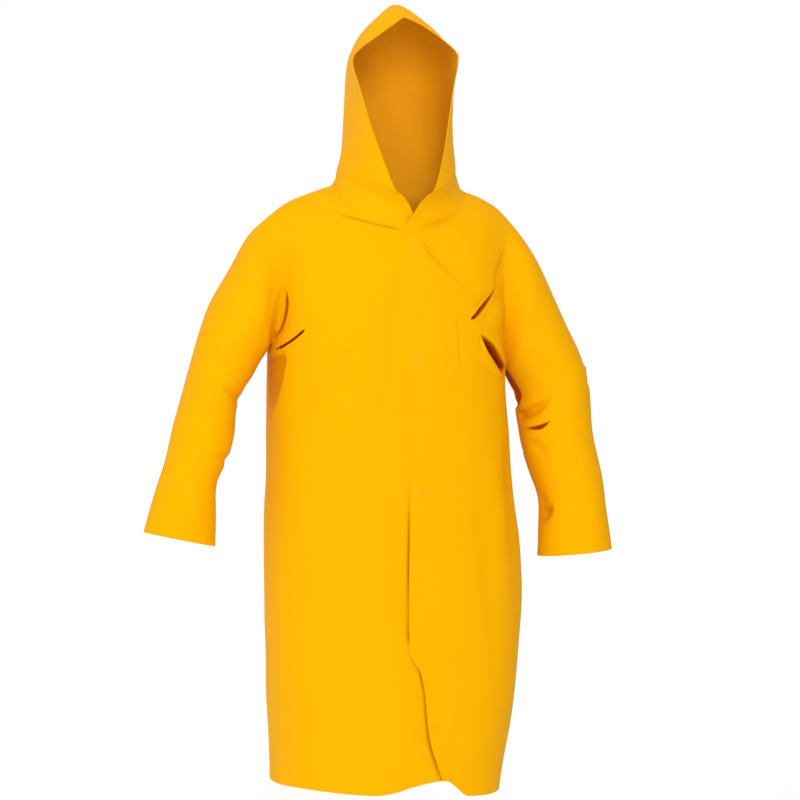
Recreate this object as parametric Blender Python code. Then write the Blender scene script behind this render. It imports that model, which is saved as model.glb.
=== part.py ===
"""Hooded raincoat of coated cloth, worn shape with no wearer.

Metres, +Z up.  The coat's front faces -Y and the wearer's left is +X.  The origin
is where the wearer's shoulders hold the coat: the middle of the neck, level with
the shoulders.  Every cut piece is a closed wall of its own, and a hair's gap
stands for each seam.
"""

import math
from collections import namedtuple

import bmesh
import bpy
import numpy as np

# ---------------------------------------------------------------- driving sizes
WALL = 0.0016              # cloth wall
SEAM = 0.0003              # gap between two pieces at a seam
SLEEVE_SEAM = 0.0008       # gap at the armhole, where the walls turn a corner
LAP_GAP = 0.0006           # gap between the two fronts where they lap

BODY_X = -0.008            # the body hangs a little to the wearer's right
SIDE_Y = 0.030             # depth of the side seams
RIDGE_Y = 0.015            # depth of the shoulder seams
SHOULDER_ROUND = 0.222     # height over which the chest rounds back to the shoulder
FRONT_SQUARE = 2.4         # how square the front half of a section is
BACK_SQUARE = 2.25         # and the back half

NECK_X = 0.0075            # middle of the neck seam
NECK_HALF = 0.1185         # its half width
NECK_FRONT_Z = -0.0745     # its height at the centre front
NECK_BACK_Z = -0.028       # and at the centre back

SHOULDER_HALF = 0.2185     # centre of the body to the shoulder tip
UNDERARM_LEFT_Z = -0.315   # lowest point of each armhole
UNDERARM_RIGHT_Z = -0.281

LAP_BLEND = 0.050          # width over which the under front drops below the lap

STUD_RADIUS = 0.0075       # press-stud caps down the lap
STUD_HEIGHT = 0.0016
STUD_SIDES = 16
STUD_FROM_EDGE = 0.018
STUD_HEIGHTS = (("stud_neck", -0.107), ("stud_chest", -0.309), ("stud_waist", -0.541))

# how finely the walls are divided
SKIRT_ROWS = 17            # hem to underarm
YOKE_ROWS = 11             # underarm to shoulder
NECK_COLUMNS = 7           # along the neck seam, front or back, one side
SHOULDER_COLUMNS = 6       # along a shoulder seam
SLEEVE_STEPS = 2           # rows between two rings of a sleeve
HOOD_ROWS = 19
SHARP_ANGLE = 50.0         # degrees between two faces that meet in a sharp edge

# ---------------------------------------------------------------- short tables
Section = namedtuple("Section", "z right left front back")
# level sections of the body: half width to each side, depth of front and back
BODY = (
    Section(-1.085, 0.211, 0.203, -0.136, 0.176),
    Section(-0.990, 0.213, 0.220, -0.138, 0.179),
    Section(-0.860, 0.218, 0.239, -0.139, 0.181),
    Section(-0.700, 0.222, 0.248, -0.137, 0.179),
    Section(-0.560, 0.220, 0.236, -0.133, 0.173),
    Section(-0.420, 0.218, 0.222, -0.129, 0.164),
    Section(-0.340, 0.217, 0.216, -0.127, 0.158),
    Section(-0.280, 0.216, 0.214, -0.126, 0.154),
    Section(-0.160, 0.222, 0.222, -0.123, 0.147),
    Section(-0.040, 0.238, 0.238, -0.122, 0.145),
    Section(0.040, 0.245, 0.245, -0.122, 0.145),
)

Shoulder = namedtuple("Shoulder", "away right left")
# shoulder line, which passes on over the neck opening: height of the right and the
# left shoulder, outward from the body's centre
SHOULDER = (
    Shoulder(0.000, 0.0260, 0.0260),
    Shoulder(0.060, 0.0195, 0.0205),
    Shoulder(0.130, 0.0040, 0.0055),
    Shoulder(0.155, -0.0048, -0.0010),
    Shoulder(0.178, -0.0141, -0.0094),
    Shoulder(0.198, -0.0244, -0.0158),
    Shoulder(0.2185, -0.0387, -0.0301),
    Shoulder(0.260, -0.0920, -0.0830),
)

ArmholeRow = namedtuple("ArmholeRow", "rise reach")
# armhole from underarm (rise 0) to shoulder tip (rise 1): how far it has passed from
# the half width at the underarm to SHOULDER_HALF
ARMHOLE = (
    ArmholeRow(0.00, 0.000),
    ArmholeRow(0.12, 0.110),
    ArmholeRow(0.30, 0.330),
    ArmholeRow(0.55, 0.560),
    ArmholeRow(0.80, 0.790),
    ArmholeRow(1.00, 1.000),
)
ARMHOLE_SCOOP = 0.013      # how far the armhole curves in towards the chest

Edge = namedtuple("Edge", "z lap under")
# free front edges: x of the left front, which laps on top, and of the right one
FRONT_EDGES = (
    Edge(-1.085, 0.0680, 0.0800),
    Edge(-1.042, 0.0530, 0.0680),
    Edge(-1.014, 0.0430, 0.0610),
    Edge(-0.979, 0.0315, 0.0550),
    Edge(-0.944, 0.0265, 0.0510),
    Edge(-0.883, 0.0195, 0.0450),
    Edge(-0.846, 0.0085, 0.0390),
    Edge(-0.820, -0.0040, 0.0330),
    Edge(-0.790, -0.0105, 0.0290),
    Edge(-0.720, -0.0118, 0.0270),
    Edge(-0.547, -0.0085, 0.0270),
    Edge(-0.300, -0.0080, 0.0270),
    Edge(0.000, -0.0080, 0.0270),
)

HEM_Z = -1.067
HEM_LEFT_FALL = 0.012      # the hem is this much lower at the left side seam
HEM_RIGHT_RISE = 0.010     # and this much higher at the right one
HEM_CORNER_RISE = 0.026    # how far each front's lower corner is rounded up
LEFT_CORNER = 0.036        # over this width on the left front
RIGHT_CORNER = 0.150       # and this width on the right one

Ring = namedtuple("Ring", "outer_x outer_z inner_x inner_z y depth")
# sleeves from shoulder to cuff: outer and inner edge, mid depth, half depth
SLEEVE_LEFT = (
    Ring(0.2510, -0.0900, 0.2130, -0.3240, 0.021, 0.080),
    Ring(0.2895, -0.1580, 0.2175, -0.3325, 0.021, 0.077),
    Ring(0.3215, -0.2290, 0.2225, -0.3420, 0.021, 0.075),
    Ring(0.3510, -0.2860, 0.2285, -0.3530, 0.021, 0.073),
    Ring(0.3700, -0.3420, 0.2355, -0.3680, 0.020, 0.071),
    Ring(0.3735, -0.3920, 0.2350, -0.4000, 0.016, 0.068),
    Ring(0.3760, -0.4320, 0.2385, -0.4290, 0.010, 0.064),
    Ring(0.3840, -0.4810, 0.2450, -0.4710, 0.002, 0.065),
    Ring(0.3900, -0.5230, 0.2560, -0.5180, -0.006, 0.063),
    Ring(0.3925, -0.5620, 0.2695, -0.5570, -0.014, 0.060),
    Ring(0.3960, -0.6030, 0.2660, -0.6060, -0.023, 0.061),
    Ring(0.3985, -0.6480, 0.2615, -0.6600, -0.032, 0.063),
)
SLEEVE_RIGHT = (
    Ring(-0.2620, -0.0850, -0.2290, -0.2890, 0.021, 0.080),
    Ring(-0.2960, -0.1440, -0.2345, -0.2980, 0.021, 0.077),
    Ring(-0.3300, -0.2030, -0.2430, -0.3110, 0.021, 0.074),
    Ring(-0.3530, -0.2660, -0.2560, -0.3370, 0.021, 0.071),
    Ring(-0.3685, -0.3200, -0.2735, -0.3650, 0.020, 0.068),
    Ring(-0.3845, -0.3780, -0.2860, -0.3990, 0.016, 0.064),
    Ring(-0.4020, -0.4350, -0.2920, -0.4460, 0.010, 0.061),
    Ring(-0.4130, -0.4820, -0.3060, -0.4900, 0.002, 0.059),
    Ring(-0.4280, -0.5240, -0.3240, -0.5230, -0.006, 0.056),
    Ring(-0.4435, -0.5680, -0.3265, -0.5760, -0.016, 0.057),
    Ring(-0.4560, -0.6080, -0.3300, -0.6340, -0.026, 0.060),
)

HoodRow = namedtuple("HoodRow", "front_x front_y front_z side_x side_y side_z back_y back_z"
                                " lean rake tilt")
# one side of the hood from the neck seam up to the centre seam; lean is how far the
# row stands to the wearer's left, rake how much it runs backward from the face edge,
# tilt how much lower it is to the wearer's left per metre
HOOD = (
    HoodRow(0.0000, -0.112, -0.050, 0.1135, 0.014, 0.014, 0.092, -0.006, 0.0085, 0.02, 0.036),
    HoodRow(0.0095, -0.118, -0.034, 0.1095, 0.014, 0.026, 0.099, 0.016, 0.0085, 0.08, 0.030),
    HoodRow(0.0215, -0.122, -0.021, 0.1070, 0.015, 0.038, 0.104, 0.036, 0.0085, 0.18, 0.020),
    HoodRow(0.0360, -0.123, -0.006, 0.1030, 0.016, 0.053, 0.109, 0.055, 0.009, 0.30, 0.010),
    HoodRow(0.0565, -0.106, 0.060, 0.0985, 0.016, 0.085, 0.114, 0.090, 0.009, 0.45, 0.000),
    HoodRow(0.0690, -0.091, 0.115, 0.0960, 0.016, 0.125, 0.119, 0.126, 0.009, 0.45, 0.000),
    HoodRow(0.0810, -0.077, 0.170, 0.0935, 0.014, 0.168, 0.122, 0.164, 0.009, 0.45, 0.000),
    HoodRow(0.0925, -0.066, 0.220, 0.0925, 0.010, 0.214, 0.120, 0.206, 0.010, 0.45, 0.000),
    HoodRow(0.0890, -0.062, 0.243, 0.0895, 0.006, 0.244, 0.112, 0.238, 0.012, 0.45, 0.000),
    HoodRow(0.0620, -0.061, 0.268, 0.0690, 0.006, 0.282, 0.100, 0.266, 0.011, 0.45, 0.000),
    HoodRow(0.0300, -0.060, 0.289, 0.0360, 0.008, 0.314, 0.086, 0.290, 0.008, 0.45, 0.000),
    HoodRow(0.0000, -0.060, 0.303, 0.0000, 0.012, 0.338, 0.072, 0.306, 0.005, 0.45, 0.000),
)
HOOD_JOIN_Z = -0.050       # the two hood fronts lap up to this height
HOOD_TUCK = 0.0054         # how deep the right one lies below the left one there

Fold = namedtuple("Fold", "face x0 z0 x1 z1 width depth")
# largest soft troughs (+) and ridges (-) of the body, drawn in front elevation
FOLDS = (
    Fold("front", 0.020, -0.125, 0.125, -0.245, 0.024, 0.0045),
    Fold("front", 0.186, -0.130, 0.130, -0.240, 0.020, 0.0060),
    Fold("front", 0.140, -0.262, 0.200, -0.330, 0.020, 0.0060),
    Fold("front", -0.010, -0.130, -0.030, -0.420, 0.026, 0.0030),
    Fold("front", 0.092, -0.220, 0.098, -0.350, 0.016, 0.0030),
    Fold("front", -0.080, -0.160, -0.105, -0.330, 0.022, 0.0030),
    Fold("front", -0.070, -0.260, -0.150, -0.520, 0.028, 0.0030),
    Fold("front", -0.195, -0.290, -0.135, -0.245, 0.020, 0.0060),
    Fold("front", 0.170, -0.560, 0.180, -1.000, 0.040, -0.0060),
    Fold("front", 0.110, -0.650, 0.125, -1.060, 0.035, 0.0050),
    Fold("back", -0.120, -0.080, -0.020, -0.230, 0.030, 0.0050),
    Fold("back", 0.110, -0.080, 0.030, -0.250, 0.030, 0.0050),
    Fold("back", -0.175, -0.180, -0.120, -0.300, 0.018, 0.0080),
    Fold("back", 0.170, -0.180, 0.110, -0.290, 0.018, 0.0080),
    Fold("back", -0.110, -0.420, -0.135, -1.060, 0.040, 0.0090),
    Fold("back", -0.020, -0.520, -0.010, -1.060, 0.044, -0.0090),
    Fold("back", 0.080, -0.450, 0.105, -1.060, 0.040, 0.0080),
)

SleeveFold = namedtuple("SleeveFold", "along around width spread depth")
# creases round a sleeve: ring number, turn from the outer edge over the front in
# degrees, half width in rings, half spread in degrees, depth
CREASES_LEFT = (
    SleeveFold(6.3, 160.0, 0.35, 48.0, 0.0075),
    SleeveFold(5.4, 150.0, 0.35, 40.0, 0.0045),
    SleeveFold(7.6, 160.0, 0.45, 32.0, 0.0040),
    SleeveFold(10.0, 165.0, 0.45, 28.0, 0.0040),
    SleeveFold(6.2, 230.0, 0.40, 50.0, 0.0050),
    SleeveFold(1.0, 120.0, 0.60, 34.0, 0.0050),
)
CREASES_RIGHT = (
    SleeveFold(5.8, 165.0, 0.45, 40.0, 0.0040),
    SleeveFold(8.6, 175.0, 0.45, 36.0, 0.0045),
    SleeveFold(0.9, 130.0, 0.55, 34.0, 0.0050),
    SleeveFold(5.2, 235.0, 0.50, 50.0, 0.0040),
)

CLOTH_YELLOW = (1.0, 0.47, 0.002, 1.0)
CLOTH_ROUGHNESS = 0.45
STUD_YELLOW = (0.92, 0.42, 0.004, 1.0)
STUD_ROUGHNESS = 0.35


# ---------------------------------------------------------------- curves and tables
def smooth_read(knots, values, places):
    """Read a smooth curve through (knots, values) at the given places."""
    knots = np.asarray(knots, dtype=float)
    values = np.asarray(values, dtype=float)
    places = np.clip(np.asarray(places, dtype=float), knots[0], knots[-1])
    steps = np.diff(knots)
    shape = (-1,) + (1,) * (values.ndim - 1)
    slopes = np.diff(values, axis=0) / steps.reshape(shape)
    tangents = np.empty_like(values)
    tangents[0] = slopes[0]
    tangents[-1] = slopes[-1]
    weight = (steps[1:] / (steps[1:] + steps[:-1])).reshape(shape)
    tangents[1:-1] = slopes[:-1] * weight + slopes[1:] * (1.0 - weight)
    index = np.clip(np.searchsorted(knots, places, side="right") - 1, 0, len(steps) - 1)
    span = steps[index]
    t = (places - knots[index]) / span
    extra = (1,) * (values.ndim - 1)
    t = t.reshape(t.shape + extra)
    span = span.reshape(span.shape + extra)
    return ((2 * t**3 - 3 * t**2 + 1) * values[index]
            + (t**3 - 2 * t**2 + t) * span * tangents[index]
            + (3 * t**2 - 2 * t**3) * values[index + 1]
            + (t**3 - t**2) * span * tangents[index + 1])


def column(table, name):
    """One named column of a table."""
    return [getattr(row, name) for row in table]


def smooth_step(value):
    """Ease from 0 to 1."""
    value = np.clip(value, 0.0, 1.0)
    return value * value * (3.0 - 2.0 * value)


def signed_power(value, power):
    """A power that keeps the sign."""
    return np.sign(value) * np.abs(value) ** power


# ---------------------------------------------------------------- the body's skin
def half_width(x, z):
    """Half width of the body section at height z, on the side that x is on."""
    heights = column(BODY, "z")
    right = smooth_read(heights, column(BODY, "right"), z)
    left = smooth_read(heights, column(BODY, "left"), z)
    return np.where(np.asarray(x) >= BODY_X, left, right)


def shoulder_z(x):
    """Height of the shoulder line, which runs on over the neck opening."""
    away = np.asarray(x, dtype=float) - BODY_X
    right = smooth_read(column(SHOULDER, "away"), column(SHOULDER, "right"), np.abs(away))
    left = smooth_read(column(SHOULDER, "away"), column(SHOULDER, "left"), np.abs(away))
    return np.where(away >= 0.0, left, right)


def underarm_z(x):
    """Height of the line between the two underarm points."""
    share = smooth_step((np.asarray(x) - BODY_X + 0.20) / 0.40)
    return UNDERARM_RIGHT_Z + (UNDERARM_LEFT_Z - UNDERARM_RIGHT_Z) * share


def skin_y(x, z, face):
    """Depth of the body's outer skin at (x, z) on its front or back."""
    x, z = np.broadcast_arrays(np.asarray(x, float), np.asarray(z, float))
    square = FRONT_SQUARE if face == "front" else BACK_SQUARE
    reach = np.clip(np.abs(x - BODY_X) / half_width(x, z), 0.0, 1.0)
    crown = smooth_read(column(BODY, "z"), column(BODY, face), z)
    section = SIDE_Y + (crown - SIDE_Y) * (1.0 - reach**square) ** (1.0 / square)
    drop = np.clip((shoulder_z(x) - z) / SHOULDER_ROUND, 0.0, 1.0)
    return RIDGE_Y + (section - RIDGE_Y) * np.sqrt(1.0 - (1.0 - drop) ** 2)


def armhole_xz(side, rise):
    """(x, z) of the armhole seam at a rise of 0 (underarm) to 1 (shoulder tip)."""
    rise = np.asarray(rise, dtype=float)
    low_z = UNDERARM_LEFT_Z if side > 0 else UNDERARM_RIGHT_Z
    low = float(half_width(BODY_X + side * SHOULDER_HALF, low_z))
    share = smooth_read(column(ARMHOLE, "rise"), column(ARMHOLE, "reach"), rise)
    scoop = ARMHOLE_SCOOP * np.sin(math.pi * np.clip(rise, 0.0, 1.0)) ** 0.8
    away = low + (SHOULDER_HALF - low) * share - scoop
    tip_z = float(shoulder_z(BODY_X + side * SHOULDER_HALF))
    return BODY_X + side * away, low_z + (tip_z - low_z) * rise


def neck_z(x, face):
    """Height of the neck seam on the front or the back."""
    low = NECK_FRONT_Z if face == "front" else NECK_BACK_Z
    across = (np.asarray(x, dtype=float) - NECK_X) / NECK_HALF
    share = np.sqrt(np.clip(1.0 - across**2, 0.0, 1.0))
    right_z, left_z = shoulder_z([NECK_X - NECK_HALF, NECK_X + NECK_HALF])
    side_z = right_z + (left_z - right_z) * (across + 1.0) / 2.0
    return side_z + (low - side_z) * share


def even_neck_x(start_x, side, face):
    """x of points evenly spaced along the neck seam from start_x to the shoulder."""
    start = math.asin(side * (start_x - NECK_X) / NECK_HALF)
    x = NECK_X + side * NECK_HALF * np.sin(np.linspace(start, math.pi / 2, 200))
    z = neck_z(x, face)
    points = np.stack([x, skin_y(x, z, face), z], axis=-1)
    lengths = np.linalg.norm(np.diff(points, axis=0), axis=1)
    run = np.concatenate([[0.0], np.cumsum(lengths)])
    return np.interp(np.linspace(0.0, run[-1], NECK_COLUMNS + 1), run, x)


def hem_z(x, side, face):
    """Height of the hem, with the front's lower corners rounded."""
    x = np.asarray(x, dtype=float)
    level = HEM_Z - HEM_LEFT_FALL * smooth_step(x / 0.16)
    level = level + HEM_RIGHT_RISE * smooth_step(-x / 0.16 - 0.3)
    if face == "back":
        return level
    if side > 0:
        share = (x - FRONT_EDGES[0].lap) / LEFT_CORNER
    else:
        share = (FRONT_EDGES[0].under - x) / RIGHT_CORNER
    return level + HEM_CORNER_RISE * (1.0 - smooth_step(share))


def front_edge_x(side, z):
    """x of a front's free edge at height z."""
    name = "lap" if side > 0 else "under"
    return smooth_read(column(FRONT_EDGES, "z"), column(FRONT_EDGES, name), z)


def yoke_rises():
    """Rises of the rows above the underarm, closer together at both ends."""
    level = np.linspace(0.0, 1.0, YOKE_ROWS + 1)
    return 0.5 * level + 0.25 * (1.0 - np.cos(math.pi * level))


def half_panel(side, face):
    """Outer skin of one half of the body: rows from hem to top, columns from the
    centre line or free edge out to the side seam and armhole."""
    square = FRONT_SQUARE if face == "front" else BACK_SQUARE
    columns = NECK_COLUMNS + SHOULDER_COLUMNS
    low_z = UNDERARM_LEFT_Z if side > 0 else UNDERARM_RIGHT_Z

    def row_x(z):
        """Columns of a full section at the heights z."""
        edge = front_edge_x(side, z) if face == "front" else np.full_like(z, BODY_X)
        wide = half_width(BODY_X + side * 0.1, z)
        start = np.arcsin(signed_power(side * (edge - BODY_X) / wide, square / 2.0))
        share = np.linspace(0.0, 1.0, columns + 1)[None, :]
        turn = start[:, None] + (math.pi / 2 - start[:, None]) * share
        return BODY_X + side * wide[:, None] * signed_power(np.sin(turn), 2.0 / square)

    # hem to underarm
    level = np.linspace(0.0, 1.0, SKIRT_ROWS + 1)
    rough_z = HEM_Z + (low_z - HEM_Z) * level
    skirt_x = row_x(rough_z)
    foot_z = hem_z(skirt_x[0], side, face)
    head_z = underarm_z(skirt_x[-1])
    head_z = np.where(np.arange(columns + 1) == columns, low_z, head_z)
    skirt_z = foot_z[None, :] + (head_z - foot_z)[None, :] * level[:, None]
    skirt_x = np.stack([row_x(skirt_z[:, c])[:, c] for c in range(columns + 1)], axis=1)

    # underarm to neck and shoulder
    rises = yoke_rises()
    arm_x, arm_z = armhole_xz(side, rises)
    inner_x = front_edge_x(side, np.zeros(1))[0] if face == "front" else BODY_X
    neck_x = even_neck_x(inner_x, side, face)
    tip_x = arm_x[-1]
    shoulder_x = np.linspace(NECK_X + side * NECK_HALF, tip_x, SHOULDER_COLUMNS + 1)[1:]
    top_x = np.concatenate([neck_x, shoulder_x])
    top_z = np.concatenate([neck_z(neck_x, face), shoulder_z(shoulder_x)])
    low_share = (skirt_x[-1] - skirt_x[-1][0]) / (skirt_x[-1][-1] - skirt_x[-1][0])
    top_share = (top_x - top_x[0]) / (top_x[-1] - top_x[0])
    mixed = low_share[None, :] * (1.0 - rises[:, None]) + top_share[None, :] * rises[:, None]
    start_x = skirt_x[-1][0] + (top_x[0] - skirt_x[-1][0]) * rises
    yoke_x = start_x[:, None] + (arm_x - start_x)[:, None] * mixed
    yoke_z = skirt_z[-1][None, :] + (top_z - skirt_z[-1])[None, :] * rises[:, None]

    x = np.concatenate([skirt_x, yoke_x[1:]])
    z = np.concatenate([skirt_z, yoke_z[1:]])
    y = skin_y(x, z, face)
    y[-1, NECK_COLUMNS + 1:] = RIDGE_Y
    y[:SKIRT_ROWS + 1, -1] = SIDE_Y
    return np.stack([x, y, z], axis=-1)


def fold_depth(points, face):
    """How far the cloth is pressed in at each point by the folds of a face."""
    depth = np.zeros(points.shape[:-1])
    for fold in FOLDS:
        if fold.face != face:
            continue
        run = np.array([fold.x1 - fold.x0, fold.z1 - fold.z0])
        length = float(np.hypot(*run))
        away = points[..., [0, 2]] - np.array([fold.x0, fold.z0])
        along = away @ run / length**2
        beside = (away[..., 0] * run[1] - away[..., 1] * run[0]) / length
        ends = smooth_step(along / 0.3) * smooth_step((1.15 - along) / 0.3)
        depth += fold.depth * ends * np.exp(-(beside / fold.width) ** 2)
    return depth


# ---------------------------------------------------------------- walls from skins
def skin_normals(skins):
    """Vertex normals of several skins, shared where their points coincide."""
    totals = {}
    keys = []
    for skin in skins:
        across = skin[:, 1:] - skin[:, :-1]
        up = skin[1:] - skin[:-1]
        total = np.zeros_like(skin)
        for dr in (0, 1):
            for dc in (0, 1):
                u = across[dr:across.shape[0] - 1 + dr, :]
                v = up[:, dc:up.shape[1] - 1 + dc]
                face = np.cross(u, v)
                total[dr:total.shape[0] - 1 + dr, dc:total.shape[1] - 1 + dc] += face
        flat = total.reshape(-1, 3)
        rounded = [tuple(key) for key in np.round(skin.reshape(-1, 3) * 20000).astype(int)]
        keys.append(rounded)
        for key, normal in zip(rounded, flat):
            totals[key] = totals.get(key, 0.0) + normal
    result = []
    for skin, rounded in zip(skins, keys):
        normal = np.array([totals[key] for key in rounded]).reshape(skin.shape)
        length = np.linalg.norm(normal, axis=-1, keepdims=True)
        result.append(normal / np.maximum(length, 1e-12))
    return result


def pull_in(skin, amount, rows, columns):
    """Draw the chosen borders of a grid of points in by a small amount."""
    moved = skin.copy()

    def draw(border, inside):
        direction = inside - border
        length = np.linalg.norm(direction, axis=-1, keepdims=True)
        return border + direction / np.maximum(length, 1e-9) * amount

    if rows[0]:
        moved[0] = draw(moved[0], moved[1])
    if rows[1]:
        moved[-1] = draw(moved[-1], moved[-2])
    if columns[0]:
        moved[:, 0] = draw(moved[:, 0], moved[:, 1])
    if columns[1]:
        moved[:, -1] = draw(moved[:, -1], moved[:, -2])
    return moved


def wall_object(name, outer, inner, closed):
    """A cloth wall between two grids of points; closed joins last column to first."""
    mesh = bmesh.new()
    rows, columns = outer.shape[:2]
    outside = [[mesh.verts.new(point) for point in row] for row in outer]
    inside = [[mesh.verts.new(point) for point in row] for row in inner]
    spans = columns if closed else columns - 1
    for r in range(rows - 1):
        for c in range(spans):
            d = (c + 1) % columns
            mesh.faces.new((outside[r][c], outside[r][d], outside[r + 1][d], outside[r + 1][c]))
            mesh.faces.new((inside[r][c], inside[r + 1][c], inside[r + 1][d], inside[r][d]))
    for c in range(spans):
        d = (c + 1) % columns
        mesh.faces.new((outside[0][d], outside[0][c], inside[0][c], inside[0][d]))
        mesh.faces.new((outside[-1][c], outside[-1][d], inside[-1][d], inside[-1][c]))
    if not closed:
        for r in range(rows - 1):
            mesh.faces.new((outside[r][0], outside[r + 1][0], inside[r + 1][0], inside[r][0]))
            mesh.faces.new((outside[r + 1][-1], outside[r][-1], inside[r][-1], inside[r + 1][-1]))
    bmesh.ops.recalc_face_normals(mesh, faces=mesh.faces)
    if mesh.calc_volume(signed=True) < 0.0:
        bmesh.ops.reverse_faces(mesh, faces=mesh.faces)
    bmesh.ops.triangulate(mesh, faces=mesh.faces, quad_method="SHORT_EDGE")
    mesh_object(name, mesh, coated_cloth(name))


def mesh_object(name, mesh, material):
    """An object of the finished mesh, shaded smooth but for its edges."""
    data = bpy.data.meshes.new(name)
    mesh.to_mesh(data)
    mesh.free()
    data.materials.append(material)
    data.shade_smooth()
    data.set_sharp_from_angle(angle=math.radians(SHARP_ANGLE))
    bpy.context.collection.objects.link(bpy.data.objects.new(name, data))


def coated_cloth(name):
    """Vinyl-coated cloth, for one piece."""
    return plain_material(f"{name}_cloth", CLOTH_YELLOW, CLOTH_ROUGHNESS)


def moulded_cap(name):
    """Moulded plastic, for one press-stud cap."""
    return plain_material(f"{name}_cap", STUD_YELLOW, STUD_ROUGHNESS)


def plain_material(name, colour, roughness):
    """A Principled material in one colour."""
    material = bpy.data.materials.new(name)
    material.use_nodes = True
    shader = material.node_tree.nodes["Principled BSDF"]
    shader.inputs["Base Color"].default_value = colour
    shader.inputs["Roughness"].default_value = roughness
    shader.inputs["Metallic"].default_value = 0.0
    material.diffuse_color = colour
    return material


# ---------------------------------------------------------------- skins of fronts and back
def lap_drop(points):
    """How far the right front drops in under the left front's edge."""
    edge = front_edge_x(+1, points[..., 2])
    return (WALL + LAP_GAP) * smooth_step((points[..., 0] - edge) / LAP_BLEND + 1.0)


def body_skins():
    """Outer skins of the two fronts and the back, folds pressed in."""
    left = half_panel(+1, "front")
    right = half_panel(-1, "front")[:, ::-1]
    back_left = half_panel(+1, "back")[:, ::-1]
    back_right = half_panel(-1, "back")
    back = np.concatenate([back_left, back_right[:, 1:]], axis=1)
    skins = {"front_left": left, "front_right": right, "back": back}
    normals = dict(zip(skins, skin_normals(list(skins.values()))))
    for name, skin in skins.items():
        face = "back" if name == "back" else "front"
        pressed = fold_depth(skin, face)
        if name == "front_right":
            pressed = pressed + lap_drop(skin)
        skins[name] = skin - normals[name] * pressed[..., None]
    return skins


# ---------------------------------------------------------------- sleeves
def armhole_ring(side):
    """The armhole seam as a ring that starts at the shoulder tip and runs over the
    front, the underarm and the back."""
    rises = yoke_rises()
    x, z = armhole_xz(side, rises)
    front = np.stack([x, skin_y(x, z, "front"), z], axis=-1)
    back = np.stack([x, skin_y(x, z, "back"), z], axis=-1)
    front[0, 1] = SIDE_Y
    front[-1, 1] = RIDGE_Y
    back[-1, 1] = RIDGE_Y
    return np.concatenate([front[::-1], back[1:-1]])


def sleeve_skin(side, table, creases):
    """Outer skin of a sleeve: rows from armhole to cuff, columns round it."""
    first = armhole_ring(side)
    count = len(first)
    turn = np.linspace(0.0, 2.0 * math.pi, count, endpoint=False)
    rings = [first]
    for row in table:
        outer = np.array([row.outer_x, row.y, row.outer_z])
        inner = np.array([row.inner_x, row.y, row.inner_z])
        forward = np.array([0.0, -row.depth, 0.0])
        middle = (outer + inner) / 2.0
        ring = (middle + np.cos(turn)[:, None] * (outer - inner) / 2.0
                + np.sin(turn)[:, None] * forward)
        rings.append(ring)
    last = len(rings) - 1
    places = np.linspace(0.0, last, last * SLEEVE_STEPS + 1)
    skin = smooth_read(np.arange(last + 1), np.array(rings), places)
    middles = skin.mean(axis=1, keepdims=True)
    inward = middles - skin
    inward /= np.linalg.norm(inward, axis=-1, keepdims=True)
    degrees = np.degrees(turn)
    depth = np.zeros(skin.shape[:2])
    for crease in creases:
        along = np.exp(-((places - crease.along) / crease.width) ** 2)
        away = (degrees - crease.around + 180.0) % 360.0 - 180.0
        around = np.exp(-(away / crease.spread) ** 2)
        depth += crease.depth * along[:, None] * around[None, :]
    return skin + inward * depth[..., None]


def make_sleeve(name, side, table, creases):
    """One sleeve, a hair's gap outside its armhole."""
    skin = sleeve_skin(side, table, creases)
    wrapped = np.concatenate([skin, skin[:, :1]], axis=1)
    normal = skin_normals([wrapped])[0][:, :-1]
    outward = np.sign(np.sum((skin - skin.mean(axis=1, keepdims=True)) * normal))
    inner = skin - normal * outward * WALL
    clear = np.array([side * SLEEVE_SEAM, 0.0, 0.0])
    skin[0] += clear
    inner[0] += clear
    wall_object(name, skin, inner, True)


# ---------------------------------------------------------------- skins of the hood
def hood_row(row, side, back_columns, front_columns):
    """One row of a hood half, from the face edge round the side to the centre back."""
    front = np.array([row.front_x, row.front_y, row.front_z])
    flank = np.array([row.side_x, row.side_y, row.side_z])
    back = np.array([0.0, row.back_y, row.back_z])
    reach = flank[1] - front[1]
    toward = np.array([flank[0] - front[0], row.rake * reach, 0.5 * (flank[2] - front[2])])
    first = bezier(front, front + 0.55 * toward, flank - np.array([0.0, 0.45 * reach, 0.0]),
                   flank, front_columns)
    depth = back[1] - flank[1]
    second = bezier(flank, flank + np.array([0.0, 0.66 * depth, 0.0]),
                    back + np.array([0.66 * flank[0], 0.0, 0.0]), back, back_columns)
    points = np.concatenate([first, second[1:]])
    points[:, 0] = side * points[:, 0] + row.lean
    points[:, 2] -= row.tilt * points[:, 0]
    return points


def bezier(start, handle, last_handle, end, count):
    """count + 1 points of a cubic curve."""
    t = np.linspace(0.0, 1.0, count + 1)[:, None]
    return ((1 - t)**3 * start + 3 * t * (1 - t)**2 * handle
            + 3 * t**2 * (1 - t) * last_handle + t**3 * end)


def hood_skin(side, seam):
    """Outer skin of a hood half above its neck seam, whose points run from the free
    edge at the centre front to the centre back."""
    front_columns = NECK_COLUMNS
    back_columns = len(seam) - 1 - front_columns
    rows = [seam] + [hood_row(row, side, back_columns, front_columns) for row in HOOD]
    places = np.linspace(0.0, len(rows) - 1, HOOD_ROWS + 1)
    skin = smooth_read(np.arange(len(rows)), np.array(rows), places)
    if side < 0:
        tucked = smooth_step((HOOD_JOIN_Z + 0.030 - skin[1:, :, 2]) / 0.025)
        near = smooth_step((skin[1:, :, 0] - HOOD[0].lean) / LAP_BLEND + 1.0)
        skin[1:, :, 1] += HOOD_TUCK * tucked * near
    return skin


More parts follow.
